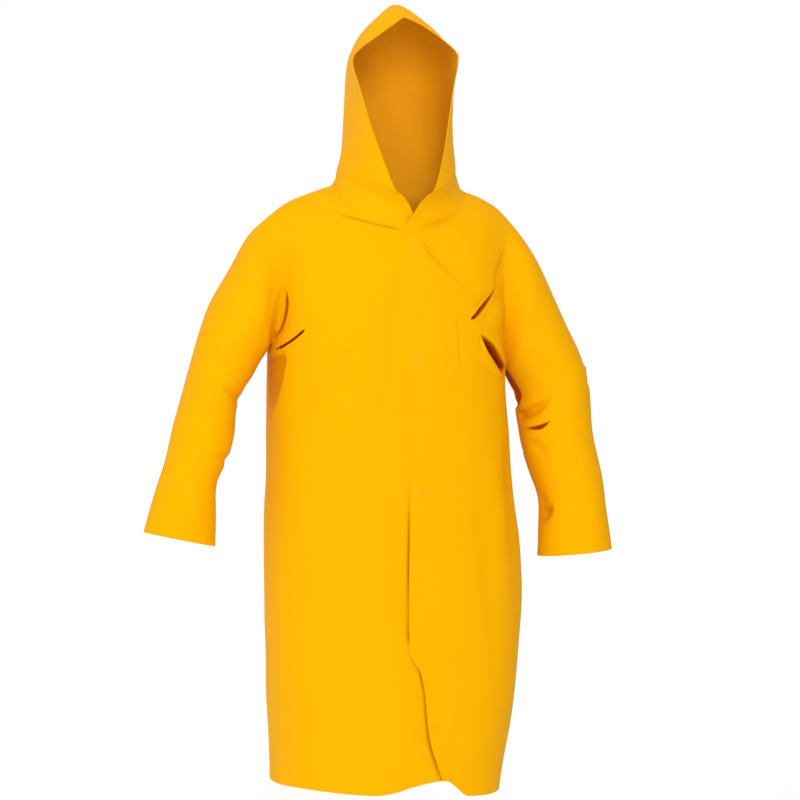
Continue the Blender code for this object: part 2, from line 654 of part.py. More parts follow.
def hood_skins(skins):
    """Both hood halves, standing on the neck edges of the fronts and the back."""
    neck_left = skins["front_left"][-1, :NECK_COLUMNS + 1]
    neck_right = skins["front_right"][-1, ::-1][:NECK_COLUMNS + 1]
    back_edge = skins["back"][-1]
    middle = NECK_COLUMNS + SHOULDER_COLUMNS
    back_left = back_edge[SHOULDER_COLUMNS:middle + 1]
    back_right = back_edge[middle:middle + NECK_COLUMNS + 1][::-1]
    left = hood_skin(+1, np.concatenate([neck_left, back_left[1:]]))
    right = hood_skin(-1, np.concatenate([neck_right, back_right[1:]]))
    return {"hood_left": left, "hood_right": right[:, ::-1]}


# ---------------------------------------------------------------- flat-cut pieces as walls
# which borders of a piece are sewn: bottom and top row, first and last column
SEWN = {
    "front_left": ((False, True), (False, True)),
    "front_right": ((False, True), (True, False)),
    "back": ((False, True), (True, True)),
    "hood_left": ((True, True), (False, True)),
    "hood_right": ((True, True), (True, False)),
}


def make_panels(skins):
    """The flat-cut panels as walls, mitred where two of them meet at a seam."""
    normals = dict(zip(skins, skin_normals(list(skins.values()))))
    for name, skin in skins.items():
        rows, columns = SEWN[name]
        outer = pull_in(skin, SEAM / 2, rows, columns)
        inner = pull_in(skin - normals[name] * WALL, SEAM / 2, rows, columns)
        wall_object(name, outer, inner, False)


# ---------------------------------------------------------------- press studs
def on_skin(skin, x, z):
    """Point of a front's skin at (x, z), read between its own points."""
    rows_z = [np.interp(x, row[:, 0], row[:, 2]) for row in skin]
    rows_y = [np.interp(x, row[:, 0], row[:, 1]) for row in skin]
    return np.array([x, np.interp(z, rows_z, rows_y), z])


def make_studs(front):
    """Domed caps on the left front's lap, each square to the cloth under it."""
    for name, height in STUD_HEIGHTS:
        x = float(front_edge_x(+1, np.array([height]))[0]) + STUD_FROM_EDGE
        here = on_skin(front, x, height)
        across = on_skin(front, x + STUD_RADIUS, height) - here
        up = on_skin(front, x, height + STUD_RADIUS) - here
        out = np.cross(across, up)
        out /= np.linalg.norm(out)
        across /= np.linalg.norm(across)
        up = np.cross(out, across)
        mesh = bmesh.new()
        rings = ((STUD_RADIUS, 0.0), (STUD_RADIUS, 0.55), (0.72 * STUD_RADIUS, 1.0))
        levels = []
        for radius, share in rings:
            ring = []
            for number in range(STUD_SIDES):
                angle = math.tau * number / STUD_SIDES
                place = (here + out * (SEAM + share * STUD_HEIGHT)
                         + radius * (math.cos(angle) * across + math.sin(angle) * up))
                ring.append(mesh.verts.new(place))
            levels.append(ring)
        for low, high in zip(levels, levels[1:]):
            for number in range(STUD_SIDES):
                after = (number + 1) % STUD_SIDES
                mesh.faces.new((low[number], low[after], high[after], high[number]))
        mesh.faces.new(levels[0][::-1])
        mesh.faces.new(levels[-1])
        mesh_object(name, mesh, moulded_cap(name))


def main():
    """Clear the file and make every piece of the coat."""
    for item in list(bpy.data.objects):
        bpy.data.objects.remove(item, do_unlink=True)
    skins = body_skins()
    skins.update(hood_skins(skins))
    make_panels(skins)
    make_sleeve("sleeve_left", +1, SLEEVE_LEFT, CREASES_LEFT)
    make_sleeve("sleeve_right", -1, SLEEVE_RIGHT, CREASES_RIGHT)
    make_studs(skins["front_left"])


main()
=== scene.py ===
import math
from collections import namedtuple
from functools import lru_cache

import bmesh
import bpy
import numpy as np
from bpy.props import FloatProperty, FloatVectorProperty, PointerProperty
from mathutils import Matrix, Vector


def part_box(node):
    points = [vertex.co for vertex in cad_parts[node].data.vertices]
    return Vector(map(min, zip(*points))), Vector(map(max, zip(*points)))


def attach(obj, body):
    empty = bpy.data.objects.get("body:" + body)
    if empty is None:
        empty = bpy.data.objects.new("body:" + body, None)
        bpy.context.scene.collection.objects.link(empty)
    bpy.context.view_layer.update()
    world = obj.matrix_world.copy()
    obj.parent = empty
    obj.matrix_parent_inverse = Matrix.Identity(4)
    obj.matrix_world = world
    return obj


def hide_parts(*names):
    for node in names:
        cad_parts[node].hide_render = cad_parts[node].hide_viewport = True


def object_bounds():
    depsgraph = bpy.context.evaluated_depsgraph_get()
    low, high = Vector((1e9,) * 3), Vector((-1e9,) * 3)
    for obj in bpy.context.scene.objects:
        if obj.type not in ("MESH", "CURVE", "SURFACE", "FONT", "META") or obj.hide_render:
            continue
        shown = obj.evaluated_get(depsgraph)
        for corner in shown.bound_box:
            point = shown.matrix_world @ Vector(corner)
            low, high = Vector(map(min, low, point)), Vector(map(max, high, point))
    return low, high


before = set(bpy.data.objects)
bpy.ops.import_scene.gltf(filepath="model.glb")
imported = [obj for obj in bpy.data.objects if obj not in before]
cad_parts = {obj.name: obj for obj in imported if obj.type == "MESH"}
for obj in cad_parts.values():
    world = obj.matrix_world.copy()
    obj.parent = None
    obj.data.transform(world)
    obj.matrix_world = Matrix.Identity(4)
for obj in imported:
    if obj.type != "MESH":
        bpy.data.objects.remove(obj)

bl_info = {
    "name": "Hooded raincoat",
    "version": (1, 0, 0),
    "blender": (4, 5, 0),
    "location": "View3D > Sidebar > Raincoat",
    "description": "Dresses a hooded raincoat of coated cloth: shells, creases, studs and stage",
    "category": "Add Mesh",
}

CAD_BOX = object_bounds()
BODY = "root"


# ---- the coat's cut
# Metres, +Z up, the front faces -Y and the wearer's left is +X.  The origin is the
# middle of the neck, level with the shoulders.  A side is +1 for the wearer's left and
# -1 for the right.
BODY_X = -0.008  # the body hangs a little to the wearer's right
SIDE_Y = 0.030  # depth of the side seams
RIDGE_Y = 0.015  # depth of the shoulder seams
SHOULDER_ROUND = 0.222  # height over which the chest rounds back to the shoulder
SQUARE = {"front": 2.4, "back": 2.25}  # how square each half of a section is
NECK_X = 0.0075  # middle of the neck seam
NECK_HALF = 0.1185  # its half width
NECK_Z = {"front": -0.0745, "back": -0.028}  # its height at the centre front and back
NECK_SAMPLES = 400  # points along which its length is measured
SHOULDER_HALF = 0.2185  # centre of the body to the shoulder tip
UNDERARM_Z = {+1: -0.315, -1: -0.281}  # lowest point of each armhole
UNDERARM_HALF = 0.20  # half the width over which one of these heights becomes the other
ARMHOLE_SCOOP = 0.013  # how far the armhole curves in towards the chest
SCOOP_POWER = 0.8  # how full that curve is
HEM_Z = -1.067
HEM_LEFT_FALL = 0.012  # the hem is this much lower at the left side seam
HEM_RIGHT_RISE = 0.010  # and this much higher at the right one
HEM_TURN = 0.16  # width over which it falls or rises
HEM_RIGHT_START = 0.3  # share of that width after which the right side begins to rise
HEM_CORNER_RISE = 0.026  # how far each front's lower corner is rounded up
LEFT_CORNER = 0.036  # over this width on the left front
RIGHT_CORNER = 0.150  # and this width on the right one

# where the left front laps over the right one
LAP_BLEND = 0.050  # width over which the under front drops below the lap
LAP_CLEARANCE = 0.00004  # gap between the two
LAP_LIFT_WIDTH = 0.016  # how far in from its edge the lap stands off
LAP_SHADE_WIDTH = 0.0030  # how far the lap's edge shades the cloth beside it
SINK_UNDER = 0.030  # how far the under front's sink reaches below the lap
SINK_BESIDE = 0.012  # and beside it
EDGE_PRESS = 0.90  # share of its thickness the lap's upper edge loses
EDGE_PRESS_WIDTH = 0.006  # how far in from the edge it is pressed thin
EDGE_PRESS_Z = -0.58  # height above which it is
EDGE_PRESS_BLEND = 0.06  # height over which that begins

# the hood
HOOD_JOIN_Z = -0.050  # the two hood fronts lap up to this height
HOOD_TUCK = 0.0045  # how deep the right one lies below the left one there
HOOD_TUCK_OVER = 0.030  # how far above the join that ends
HOOD_TUCK_BLEND = 0.025  # and the height over which it does
FACE_RISE = 0.5  # how much of its rise to the side a hood row shows at its face edge
FACE_PULL = 0.55  # how far the row runs on as it leaves the face edge
SIDE_PULL = 0.45  # how far it runs straight into the side
BACK_PULL = 0.66  # and how full it is round the back


def table(kind, *rows):
    """Rows of one kind.  Numbers are written in thousandths, so that lengths are in
    millimetres; words stay as they are."""
    return tuple(kind(*(value if isinstance(value, str) else value / 1000.0 for value in row))
                 for row in rows)


# level sections of the body: half width to each side, depth of front and back
SECTIONS = table(
    namedtuple("Section", "z right left front back"),
    (-1085, 211, 203, -136, 176),
    (-990, 213, 220, -138, 179),
    (-860, 218, 239, -139, 181),
    (-700, 222, 248, -137, 179),
    (-560, 220, 236, -133, 173),
    (-420, 218, 222, -129, 164),
    (-340, 217, 216, -127, 158),
    (-280, 216, 214, -126, 154),
    (-160, 222, 222, -123, 147),
    (-40, 238, 238, -122, 145),
    (40, 245, 245, -122, 145),
)

# shoulder line, which passes on over the neck opening: height of the right and the
# left shoulder, outward from the body's centre
SHOULDER = table(
    namedtuple("Shoulder", "away right left"),
    (0, 26, 26),
    (60, 19.5, 20.5),
    (130, 4, 5.5),
    (155, -4.8, -1),
    (178, -14.1, -9.4),
    (198, -24.4, -15.8),
    (218.5, -38.7, -30.1),
    (260, -92, -83),
)

# armhole from underarm (rise 0) to shoulder tip (rise 1): how far it has passed from
# the half width at the underarm to SHOULDER_HALF
ARMHOLE = table(
    namedtuple("ArmholeRow", "rise reach"),
    (0, 0),
    (120, 110),
    (300, 330),
    (550, 560),
    (800, 790),
    (1000, 1000),
)

# free front edges: x of the left front, which laps on top, and of the right one, how
# far the lap stands off, how far the front beside it sinks, and how much shade is painted into the
# gap
FRONT_EDGES = table(
    namedtuple("Edge", "z lap under lift sink shut"),
    (-1085, 68, 80, 3.6, 2, 100),
    (-1042, 53, 68, 3.6, 2.6, 140),
    (-1014, 43, 61, 3, 3.4, 320),
    (-979, 31.5, 55, 2.6, 4, 400),
    (-944, 26.2, 51, 2, 3.6, 340),
    (-883, 19.8, 45, 2, 2.8, 300),
    (-860, 15, 42, 1.6, 2.8, 400),
    (-846, 9.5, 39, 1, 2.2, 350),
    (-835, 1.5, 36, 0.6, 1.4, 100),
    (-823, -5, 33, 0.2, 0.8, 50),
    (-790, -7.2, 29, 1, 2.2, 400),
    (-720, -7.2, 27, 1.6, 3.2, 550),
    (-600, -4.8, 27, 1, 2, 340),
    (-547, -4.4, 27, 0.1, 0.5, 100),
    (-500, -5, 27, 0, 0, 0),
    (-300, -8, 27, 0, 0, 0),
    (0, -8, 27, 0, 0, 0),
)

# sleeves from shoulder to cuff: outer and inner edge, mid depth, half depth
Ring = namedtuple("Ring", "outer_x outer_z inner_x inner_z y depth")
SLEEVE_LEFT = table(
    Ring,
    (251, -90, 213, -324, 21, 80),
    (289.5, -158, 217.5, -332.5, 21, 77),
    (321.5, -229, 222.5, -342, 21, 75),
    (351, -286, 228.5, -353, 21, 73),
    (370, -342, 235.5, -368, 20, 71),
    (373.5, -392, 235, -400, 16, 68),
    (376, -432, 238.5, -429, 10, 64),
    (384, -481, 245, -471, 2, 65),
    (390, -523, 256, -518, -6, 63),
    (392.5, -562, 269.5, -557, -14, 60),
    (396, -603, 266, -606, -23, 61),
    (398.5, -648, 261.5, -660, -32, 63),
)
SLEEVE_RIGHT = table(
    Ring,
    (-262, -85, -229, -289, 21, 80),
    (-296, -144, -234.5, -298, 21, 77),
    (-330, -203, -243, -311, 21, 74),
    (-353, -266, -256, -337, 21, 71),
    (-368.5, -320, -273.5, -365, 20, 68),
    (-384.5, -378, -286, -399, 16, 64),
    (-402, -435, -292, -446, 10, 61),
    (-413, -482, -306, -490, 2, 59),
    (-428, -524, -324, -523, -6, 56),
    (-443.5, -568, -326.5, -576, -16, 57),
    (-456, -608, -330, -634, -26, 60),
)

# one side of the hood from the neck seam up to the centre seam; lean is how far the
# row stands to the wearer's left, rake how much it runs backward from the face edge,
# tilt how much lower it is to the wearer's left per metre, flare how much farther out
# the right half's face edge stands
HOOD = table(
    namedtuple("HoodRow", "front_x front_y front_z side_x side_y side_z back_y back_z"
                          " lean rake tilt flare"),
    (0, -112, -50, 113.5, 14, 14, 92, -6, 8.5, 20, 36, 0),
    (9.5, -118, -34, 109.5, 14, 26, 99, 16, 8.5, 80, 30, 1),
    (21.5, -122, -21, 107, 15, 38, 104, 36, 8.5, 180, 20, 2),
    (36, -123, -6, 103, 16, 53, 109, 55, 9, 300, 10, 3),
    (56.5, -106, 60, 98.5, 16, 85, 114, 90, 9, 450, 0, 4.5),
    (69, -91, 115, 96, 16, 125, 119, 126, 9, 450, 0, 7.5),
    (81, -77, 170, 93.5, 14, 168, 122, 164, 9, 450, 0, 10),
    (92.5, -66, 220, 92.5, 10, 214, 120, 206, 10, 450, 0, 10),
    (89, -62, 243, 89.5, 6, 244, 112, 238, 12, 450, 0, 0),
    (62, -61, 268, 69, 6, 282, 100, 266, 11, 450, 0, -7.5),
    (30, -60, 289, 36, 8, 314, 86, 290, 8, 450, 0, -7.5),
    (0, -60, 303, 0, 12, 343, 72, 308, 3, 450, 0, 0),
)

# troughs (depth above 0) and ridges (below 0).  Each is drawn in one view of
# the coat from its upper end (a0, z0) to its lower end (a1, z1), where a is x in the
# front and back views and y in the side ones.  bow is how far its middle swings toward
# larger a, less and more are its half widths toward smaller and larger a, rise and
# fall the shares of its length over which it starts and ends, and sharp runs from 0, a
# soft trough, to 1, a slit with steep walls.
# shade is painted into the middle of a sharp crease, from a sharpness of 0.2 on and in full from
# 0.6, as if its walls closed over it
CREASES = table(
    namedtuple("Crease", "pieces view a0 z0 a1 z1 bow less more depth rise fall sharp"),
    # wearer's left underarm: a slit that runs in from the armhole, a fold below it
    # that bulges over the chest, and the open pocket under the sleeve; shade is painted deep in
    # the slit and the pocket
    ("front_left sleeve_left", "front", 198, -100, 160, -180, 6, 10, 14, 4.5, 500, 500, 0),
    ("front_left", "front", 180, -160, 115, -235.5, 5, 2.1, 2.4, 15, 850, 50, 700),
    ("front_left", "front", 164, -178, 118, -228, 3, 9, 6, 4, 500, 300, 0),
    ("front_left sleeve_left", "front", 134.5, -259.5, 197, -330, -2, 6, 7.2, 32, 420, 100, 600),
    ("front_left sleeve_left", "front", 150, -208, 200, -250, 4, 24, 20, -6, 400, 500, 0),
    ("front_left", "front", 129, -260, 148, -306, -2, 2, 3, 3, 400, 500, 200),
    # wearer's right underarm
    ("front_right sleeve_right", "front", -207, -180, -229, -286, 7, 2.4, 1.6, 6, 250, 600, 400),
    ("front_right sleeve_right", "front", -213, -170, -230, -284, 7, 12, 9, 5, 400, 300, 0),
    ("front_right sleeve_right", "front", -180, -254, -222, -290, 2, 1.4, 1.6, 9, 120, 200, 520),
    ("front_right", "front", -182, -276, -214, -304, 0, 6, 6, -3.5, 300, 400, 0),
    # painted shadow of the sleeve on the body's side, over a shallow trough
    ("front_right", "front", -208, -294, -228, -430, 0, 14, 3, 3, 100, 800, 330),
    # neck seam: the hood's weight rolls its cloth over the seam
    ("front_right hood_right", "front", -126, -48, -11, -78.5, -2, 1.5, 1.6, 2.6, 200, 100, 300),
    ("front_right hood_right", "front", -130, -33, -10, -60, 0, 10, 10, -3, 400, 200, 0),
    ("front_left hood_left", "front", 115, -52, 20, -77.5, 0, 3.6, 5, 3, 400, 150, 100),
    ("front_left hood_left", "front", 118, -35, 20, -61, 0, 10, 10, -2.6, 400, 200, 0),
    # drag folds down from the neck: one to the left underarm, the rest long and soft
    ("front_left", "front", 22, -86, 134, -193, -6, 11, 36, 10, 250, 600, 0),
    ("front_right front_left", "front", -16, -98, -70, -500, 8, 12, 20, 3.2, 200, 600, 0),
    ("front_right", "front", -88, -118, -140, -270, -8, 10, 18, 2.6, 300, 500, 0),
    ("front_right", "front", -80, -245, -185, -500, 0, 12, 22, 3.4, 300, 600, 0),
    ("front_left", "front", 89.5, -200, 95.5, -340, -3, 1.8, 6, 1.6, 400, 300, 200),
    # soft lengthwise folds of the skirt
    ("front_left", "front", 115, -360, 160, -900, 4, 24, 30, 4, 500, 600, 0),
    ("front_left", "front", 190, -400, 208, -820, 6, 16, 20, 5, 300, 500, 0),
    ("front_right", "front", -120, -560, -108, -1070, 4, 30, 30, 3.5, 600, 300, 0),
    ("front_right", "front", -40, -660, -10, -1070, 0, 24, 24, -3, 600, 300, 0),
    ("front_left", "front", 29, -944, 60, -956, 1, 2, 2, 2, 200, 600, 300),
    # wearer's left elbow, front and back
    ("sleeve_left", "front", 276, -406, 227, -418, 0, 7, 7, 3, 500, 100, 0),
    ("sleeve_left", "front", 283, -410, 238.5, -429, 7.5, 2.8, 3.2, 8.5, 600, 450, 460),
    ("sleeve_left", "front", 288, -368, 224, -412, 3, 7, 9, 10, 600, 150, 260),
    # and its inner edge, turned under as it comes out of the pocket, with shade painted along it
    ("sleeve_left", "right", 17, -316, 8, -396, 0, 10, 10, 2.2, 200, 300, 440),
    ("sleeve_left", "front", 242, -448, 276, -490, 3, 8, 10, 4.5, 300, 600, 0),
    ("sleeve_left", "front", 256, -538, 274, -605, 3, 6, 10, 5, 300, 500, 100),
    ("sleeve_left", "front", 283, -568, 261, -608, -1, 8, 4, 6, 250, 400, 290),
    ("sleeve_left", "front", 344, -318, 396, -323, 0, 7, 7, -3.6, 500, 100, 0),
    ("sleeve_left", "front", 350, -344, 396, -348, 0, 5, 5, 2.6, 500, 100, 0),
    ("sleeve_left", "back", 304, -395, 252, -423, 4, 3, 4, 8, 500, 400, 360),
    ("sleeve_left", "back", 295, -350, 232, -390, 4, 8, 10, 6, 600, 100, 0),
    ("sleeve_left", "back", 310, -455, 244, -472, 0, 8, 8, 5, 600, 200, 0),
    ("sleeve_left back", "back", 208, -210, 250, -315, 4, 9, 12, 6, 400, 500, 0),
    # wearer's right sleeve
    ("sleeve_right", "front", -328, -350, -274, -386, 2, 9, 9, 4.5, 600, 200, 0),
    ("sleeve_right", "front", -348, -470, -296, -490, 2, 8, 8, 4.5, 600, 200, 0),
    ("sleeve_right front_right", "front", -228, -160, -252, -305, 3, 16, 10, 3.5, 400, 500, 0),
    ("sleeve_right", "back", -350, -370, -280, -405, -3, 5, 6, 7.5, 600, 100, 300),
    ("sleeve_right", "back", -360, -460, -296, -484, 0, 7, 8, 5.5, 600, 100, 0),
    ("sleeve_right back", "back", -222, -190, -264, -300, 4, 12, 9, 6, 400, 500, 0),
    # back: drag folds from the neck and the underarms, then the skirt's
    ("back", "back", -115, -70, -20, -240, 8, 14, 24, 5, 300, 600, 0),
    ("back", "back", 105, -70, 30, -250, -8, 20, 14, 5, 300, 600, 0),
    ("back", "back", -194, -150, -125, -300, 4, 5, 9, 10, 500, 400, 200),
    ("back", "back", 188, -150, 115, -300, -4, 9, 5, 10, 500, 400, 200),
    ("back", "back", 150, -280, 208, -325, 3, 4, 5, 9, 500, 100, 300),
    ("back", "back", -160, -260, -218, -296, -3, 5, 4, 9, 500, 100, 300),
    ("back", "back", -108, -400, -136, -1080, 6, 32, 30, 9, 500, 100, 0),
    ("back", "back", -20, -520, -8, -1080, 4, 34, 36, -8, 500, 100, 0),
    ("back", "back", 80, -440, 106, -1080, -6, 30, 32, 8, 500, 100, 0),
    ("back", "back", 175, -540, 186, -1080, 0, 24, 26, 4, 500, 100, 0),
    # hood: slack between crown and neck, and the corners where it stands on the shoulder
    ("hood_right", "right", -70, 150, 60, 50, 6, 14, 20, 3.5, 400, 500, 0),
    ("hood_right", "right", -90, 60, 20, 20, 4, 10, 14, 3, 400, 500, 0),
    ("hood_left", "left", -70, 140, 70, 45, -6, 14, 20, 3.5, 400, 500, 0),
    ("hood_left", "left", -85, 50, 30, 15, -4, 10, 14, 3, 400, 500, 0),
    ("hood_left hood_right", "back", -50, 95, 50, 70, 6, 10, 14, 3, 400, 400, 0),
)
# axis that a stands for in each view, and the direction that faces the viewer
VIEWS = {"front": (0, (0, -1, 0)), "back": (0, (0, 1, 0)),
         "left": (1, (1, 0, 0)), "right": (1, (-1, 0, 0))}
END_WIDTH = 0.35  # share of a crease's width that is left at its ends
SOFT_POWER = 2.0  # how steep the walls of a soft crease are
SHARP_POWER = 4.0  # and how much steeper those of a sharp one
LIP_HEIGHT = 0.16  # a sharp crease throws up a lip, as a share of its depth
LIP_PLACE = 2.6  # this many half widths out
LIP_WIDTH = 1.1  # and this wide
# painted shade in the middle of a sharp crease, as if its walls closed over it
FOLD_SHADE_WIDTH = 1.15  # half widths within which its walls count as touching and shade is painted
FOLD_SHADE_GAIN = 2.2  # how fast the painted shade deepens toward its middle
FOLD_SHADE_FROM = 0.2  # sharpness above which its walls begin to touch and shade is painted
FOLD_SHADE_OVER = 0.4  # and over which they close fully and the painted shade is full

Wave = namedtuple("Wave", "x y z phase height")
# slow rise and fall of slack cloth: waves per metre along each axis, and half height
SLACK = (
    Wave(5.1, 2.3, 3.7, 0.4, 0.00055),
    Wave(-3.3, 4.9, 6.1, 2.1, 0.00045),
    Wave(8.7, -3.9, 2.9, 4.0, 0.00035),
    Wave(-6.7, -7.3, 9.1, 5.2, 0.00022),
)

Cut = namedtuple("Cut", "width length area")

# ---- grids, seams and hems
Grid = namedtuple("Grid", "skirt yoke neck shoulder")
FRONT = Grid(104, 132, 64, 72)  # rows and columns of a front
BACK = Grid(104, 72, 44, 72)  # and of each half of the back
NECK_SHARE = 0.56  # share of a skirt row that the neck's columns take
SKIRT_CROWDING = 1.5  # how much closer together rows come toward the underarm
HEM_ROWS = 14  # rows that lie in a hem
HEM_SHARE = 0.034  # of a panel's height, for those rows
SLEEVE_ROWS = 172
CUFF_ROWS = 14  # rows that lie in a cuff's hem
CUFF_RINGS = 0.6  # of a ring's spacing, for those rows
HOOD_ROWS = 112
PACE_RINGS = (0, 2, 4, 8, 12)  # by these rings of a sleeve of twelve
PACE_SHARES = (0.0, 0.30, 0.50, 0.85, 1.0)  # these shares of its rows are spent
WELD_CELLS = 20000.0  # cells to a metre: points of two pieces that share one are welded
EASING_ROUNDS = 240  # times that the surface is evened out
EASING_STEP = 0.5  # how far toward its neighbours a point moves each time
EASING_NORMALS = 40  # rounds after which the normals are worked out again
BASE_EASING = 0.10  # strength of the easing away from the seams

# how far each seam is eased into the cloth on both sides of it
ARMHOLE_REACH = 0.040
UNDERARM_REACH = 0.014
SHOULDER_REACH = 0.020
SIDE_REACH = 0.014
NECK_REACH = 0.007
CROWN_REACH = 0.004
CENTRE_REACH = 0.008
# share of the full seam dip that each shows
PLAIN_DIP = 0.35
ARMHOLE_DIP = 0.12
SHOULDER_DIP = 0.08
NECK_DIP = 0.3
NECK_CLEAR = 0.35  # share of the neck seam, from its middle, that shows
UNDERARM_RISE = 0.4  # rise at which the underarm's easing has become the armhole's
DIP_WIDTH = 0.0030  # how far from a seam its dip has all but ended
WELD_PRESS = 0.0004  # how far the band beside a seam is pressed in
WELD_BLEND = 0.0020  # width over which the band ends
HEM_GROOVE = 0.0003  # depth of the groove that holds a turned hem
HEM_GROOVE_WIDTH = 0.0018
HEM_PRESS = 0.5  # what a hem's second layer keeps of its thickness
HEM_STEP = 0.0012  # width over which that layer ends
SHARP_ANGLE = 58.0
FOLD_SHADE_FIELD = "fold"  # name of the field that says how closed a fold is, and so how much shade is painted there; the lap's gap is shaded through it too

# ---- press studs
STUD_SWELL = 0.0006  # how far the cloth swells over a stud's socket
STUD_SWELL_WIDTH = 0.009
STUD_SIDES = 48
STUD_SHARP_ANGLE = 50.0
# turned profile of a cap, as shares of its radius: skirt, rounded rim and low dome
STUD_PROFILE = table(
    namedtuple("StudRing", "radius height"),
    (1000, -50),
    (1000, 0),
    (970, 25),
    (900, 42),
    (760, 58),
    (560, 70),
    (340, 78),
    (140, 81),
)

# ---- stage
FLOOR_RADIUS = 60.0
FLOOR_SIDES = 96
KEY_AIM = (0.17, 0.94, -0.24)
KEY_ANGLE = 25.0  # width of the key as it is seen from the coat
HOOD_LIGHT_FROM = (-1.1, -3.0, -0.85)
HOOD_LIGHT_AT = (-0.01, 0.02, 0.27)
HOOD_LIGHT_CONE = 16.0
HOOD_LIGHT_SIZE = 0.25
FLAG_X = 1.15
FLAG_NEAR_Y, FLAG_FAR_Y = -1.3, 0.7
FLAG_LOW_Z, FLAG_HIGH_Z = -1.35, 0.9
CAMERA_SENSOR = 36.0
CAMERA_ASIDE = 0.0108  # the camera looks this far to its right of the origin
CAMERA_Z = -0.378  # and at this height


# ---- user settings
def linear(code):
    """Linear red, green and blue of an sRGB hex colour."""
    values = [int(code[place:place + 2], 16) / 255.0 for place in (1, 3, 5)]
    return [v / 12.92 if v <= 0.04045 else ((v + 0.055) / 1.055) ** 2.4 for v in values]


def length(name, description, default, low=0.0):
    """A length that the user can set."""
    return FloatProperty(name=name, description=description, default=default, min=low,
                         unit="LENGTH")


def colour(name, description, code):
    """A colour that the user can set."""
    return FloatVectorProperty(name=name, description=description, subtype="COLOR",
                               default=linear(code), min=0.0, max=1.0)


STUD_LOW, STUD_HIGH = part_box("stud_chest")


class CoatSizes(bpy.types.PropertyGroup):
    """Sizes of the cloth and its finishing."""
    cloth: length("Cloth", "Thickness of the coated cloth", 0.0009, 0.0003)
    hem: length("Hem", "Depth of the turned hem at the bottom", 0.024, 0.005)
    cuff: length("Cuff hem", "Depth of the turned hem at each cuff", 0.020, 0.005)
    face_hem: length("Face hem", "Depth of the turned hem round the hood's opening",
                     0.018, 0.005)
    seam_dip: length("Seam dip", "How far the cloth sinks into a seam", 0.0012)
    weld: length("Weld width", "Width of the pressed band beside a seam", 0.009, 0.002)
    stud: length("Stud", "Diameter of a press-stud cap", STUD_HIGH.x - STUD_LOW.x, 0.005)


class CoatFinish(bpy.types.PropertyGroup):
    """Colours of the cloth and studs, and of the shade painted deep in closed folds."""
    yellow: colour("Yellow", "Colour of the coated face", "#E8A602")
    deep_yellow: colour("Deep yellow", "Colour where the coating lies thicker", "#E8A300")
    backing: colour("Backing", "Colour of the knitted back of the cloth", "#EAA504")
    # painted shade: what is left of the cloth's colour deep in a closed fold, where hardly any
    # light reaches
    fold: colour("Closed fold", "What is left of the colour deep in a closed fold", "#A04A08")
    cap: colour("Stud cap", "Colour of the moulded caps", "#E8A502")


class StageSettings(bpy.types.PropertyGroup):
    """Floor, light and camera."""
    drop: length("Floor drop", "Floor below the hem", 0.34)
    floor: colour("Floor", "Colour of the floor", "#FCFCFB")
    fill: FloatProperty(
        name="Fill", description="Strength of the light from all round", default=1.0, min=0.0)
    key: FloatProperty(
        name="Key", description="Strength of the soft key light", default=1.24, min=0.0)
    hood_light: FloatProperty(
        name="Hood light", description="Power of the small light into the hood",
        default=45.0, min=0.0, unit="POWER")
    azimuth: FloatProperty(
        name="Camera azimuth", description="Turn of the camera round the coat",
        default=math.radians(-14.0), subtype="ANGLE", unit="ROTATION")
    distance: length("Camera distance", "Camera to the coat", 4.2)
    view_width: length("View width", "Width of the picture at the coat", 1.44)


# ---- curves
def smooth_read(knots, values, places):
    """Read a smooth curve through (knots, values) at the given places."""
    knots = np.asarray(knots, dtype=float)
    values = np.asarray(values, dtype=float)
    places = np.clip(np.asarray(places, dtype=float), knots[0], knots[-1])
    extra = (1,) * (values.ndim - 1)
    steps = np.diff(knots)
    slopes = np.diff(values, axis=0) / steps.reshape((-1,) + extra)
    weight = (steps[1:] / (steps[1:] + steps[:-1])).reshape((-1,) + extra)
    inside = slopes[:-1] * weight + slopes[1:] * (1.0 - weight)
    tangents = np.concatenate([slopes[:1], inside, slopes[-1:]])
    index = np.clip(np.searchsorted(knots, places, side="right") - 1, 0, len(steps) - 1)
    span = steps[index]
    t = (places - knots[index]) / span
    t, span = t.reshape(t.shape + extra), span.reshape(span.shape + extra)
    return ((2 * t**3 - 3 * t**2 + 1) * values[index]
            + (t**3 - 2 * t**2 + t) * span * tangents[index]
            + (3 * t**2 - 2 * t**3) * values[index + 1]
            + (t**3 - t**2) * span * tangents[index + 1])


def read(rows, name, places):
    """A column of a table, read smoothly at places in its first column."""
    return smooth_read([row[0] for row in rows], [getattr(row, name) for row in rows], places)


def smooth_step(value):
    """Ease from 0 to 1."""
    value = np.clip(value, 0.0, 1.0)
    return value * value * (3.0 - 2.0 * value)


def between(low, high, share):
    """A value on the way from low to high."""
    return low + (high - low) * share


def signed_power(value, power):
    """A power that keeps the sign."""
    return np.sign(value) * np.abs(value) ** power


def bezier(start, handle, last_handle, end, count):
    """count + 1 points of a cubic curve."""
    t = np.linspace(0.0, 1.0, count + 1)[:, None]
    return ((1 - t)**3 * start + 3 * t * (1 - t)**2 * handle
            + 3 * t**2 * (1 - t) * last_handle + t**3 * end)


# ---- the body's skin
def half_width(x, z):
    """Half width of the body section at height z, on the side that x is on."""
    return np.where(np.asarray(x) >= BODY_X, read(SECTIONS, "left", z),
                    read(SECTIONS, "right", z))


def shoulder_z(x):
    """Height of the shoulder line, which runs on over the neck opening."""
    away = np.asarray(x, dtype=float) - BODY_X
    return np.where(away >= 0.0, read(SHOULDER, "left", np.abs(away)),
                    read(SHOULDER, "right", np.abs(away)))


def underarm_z(x):
    """Height of the line between the two underarm points."""
    share = smooth_step((np.asarray(x) - BODY_X + UNDERARM_HALF) / (2.0 * UNDERARM_HALF))
    return between(UNDERARM_Z[-1], UNDERARM_Z[+1], share)


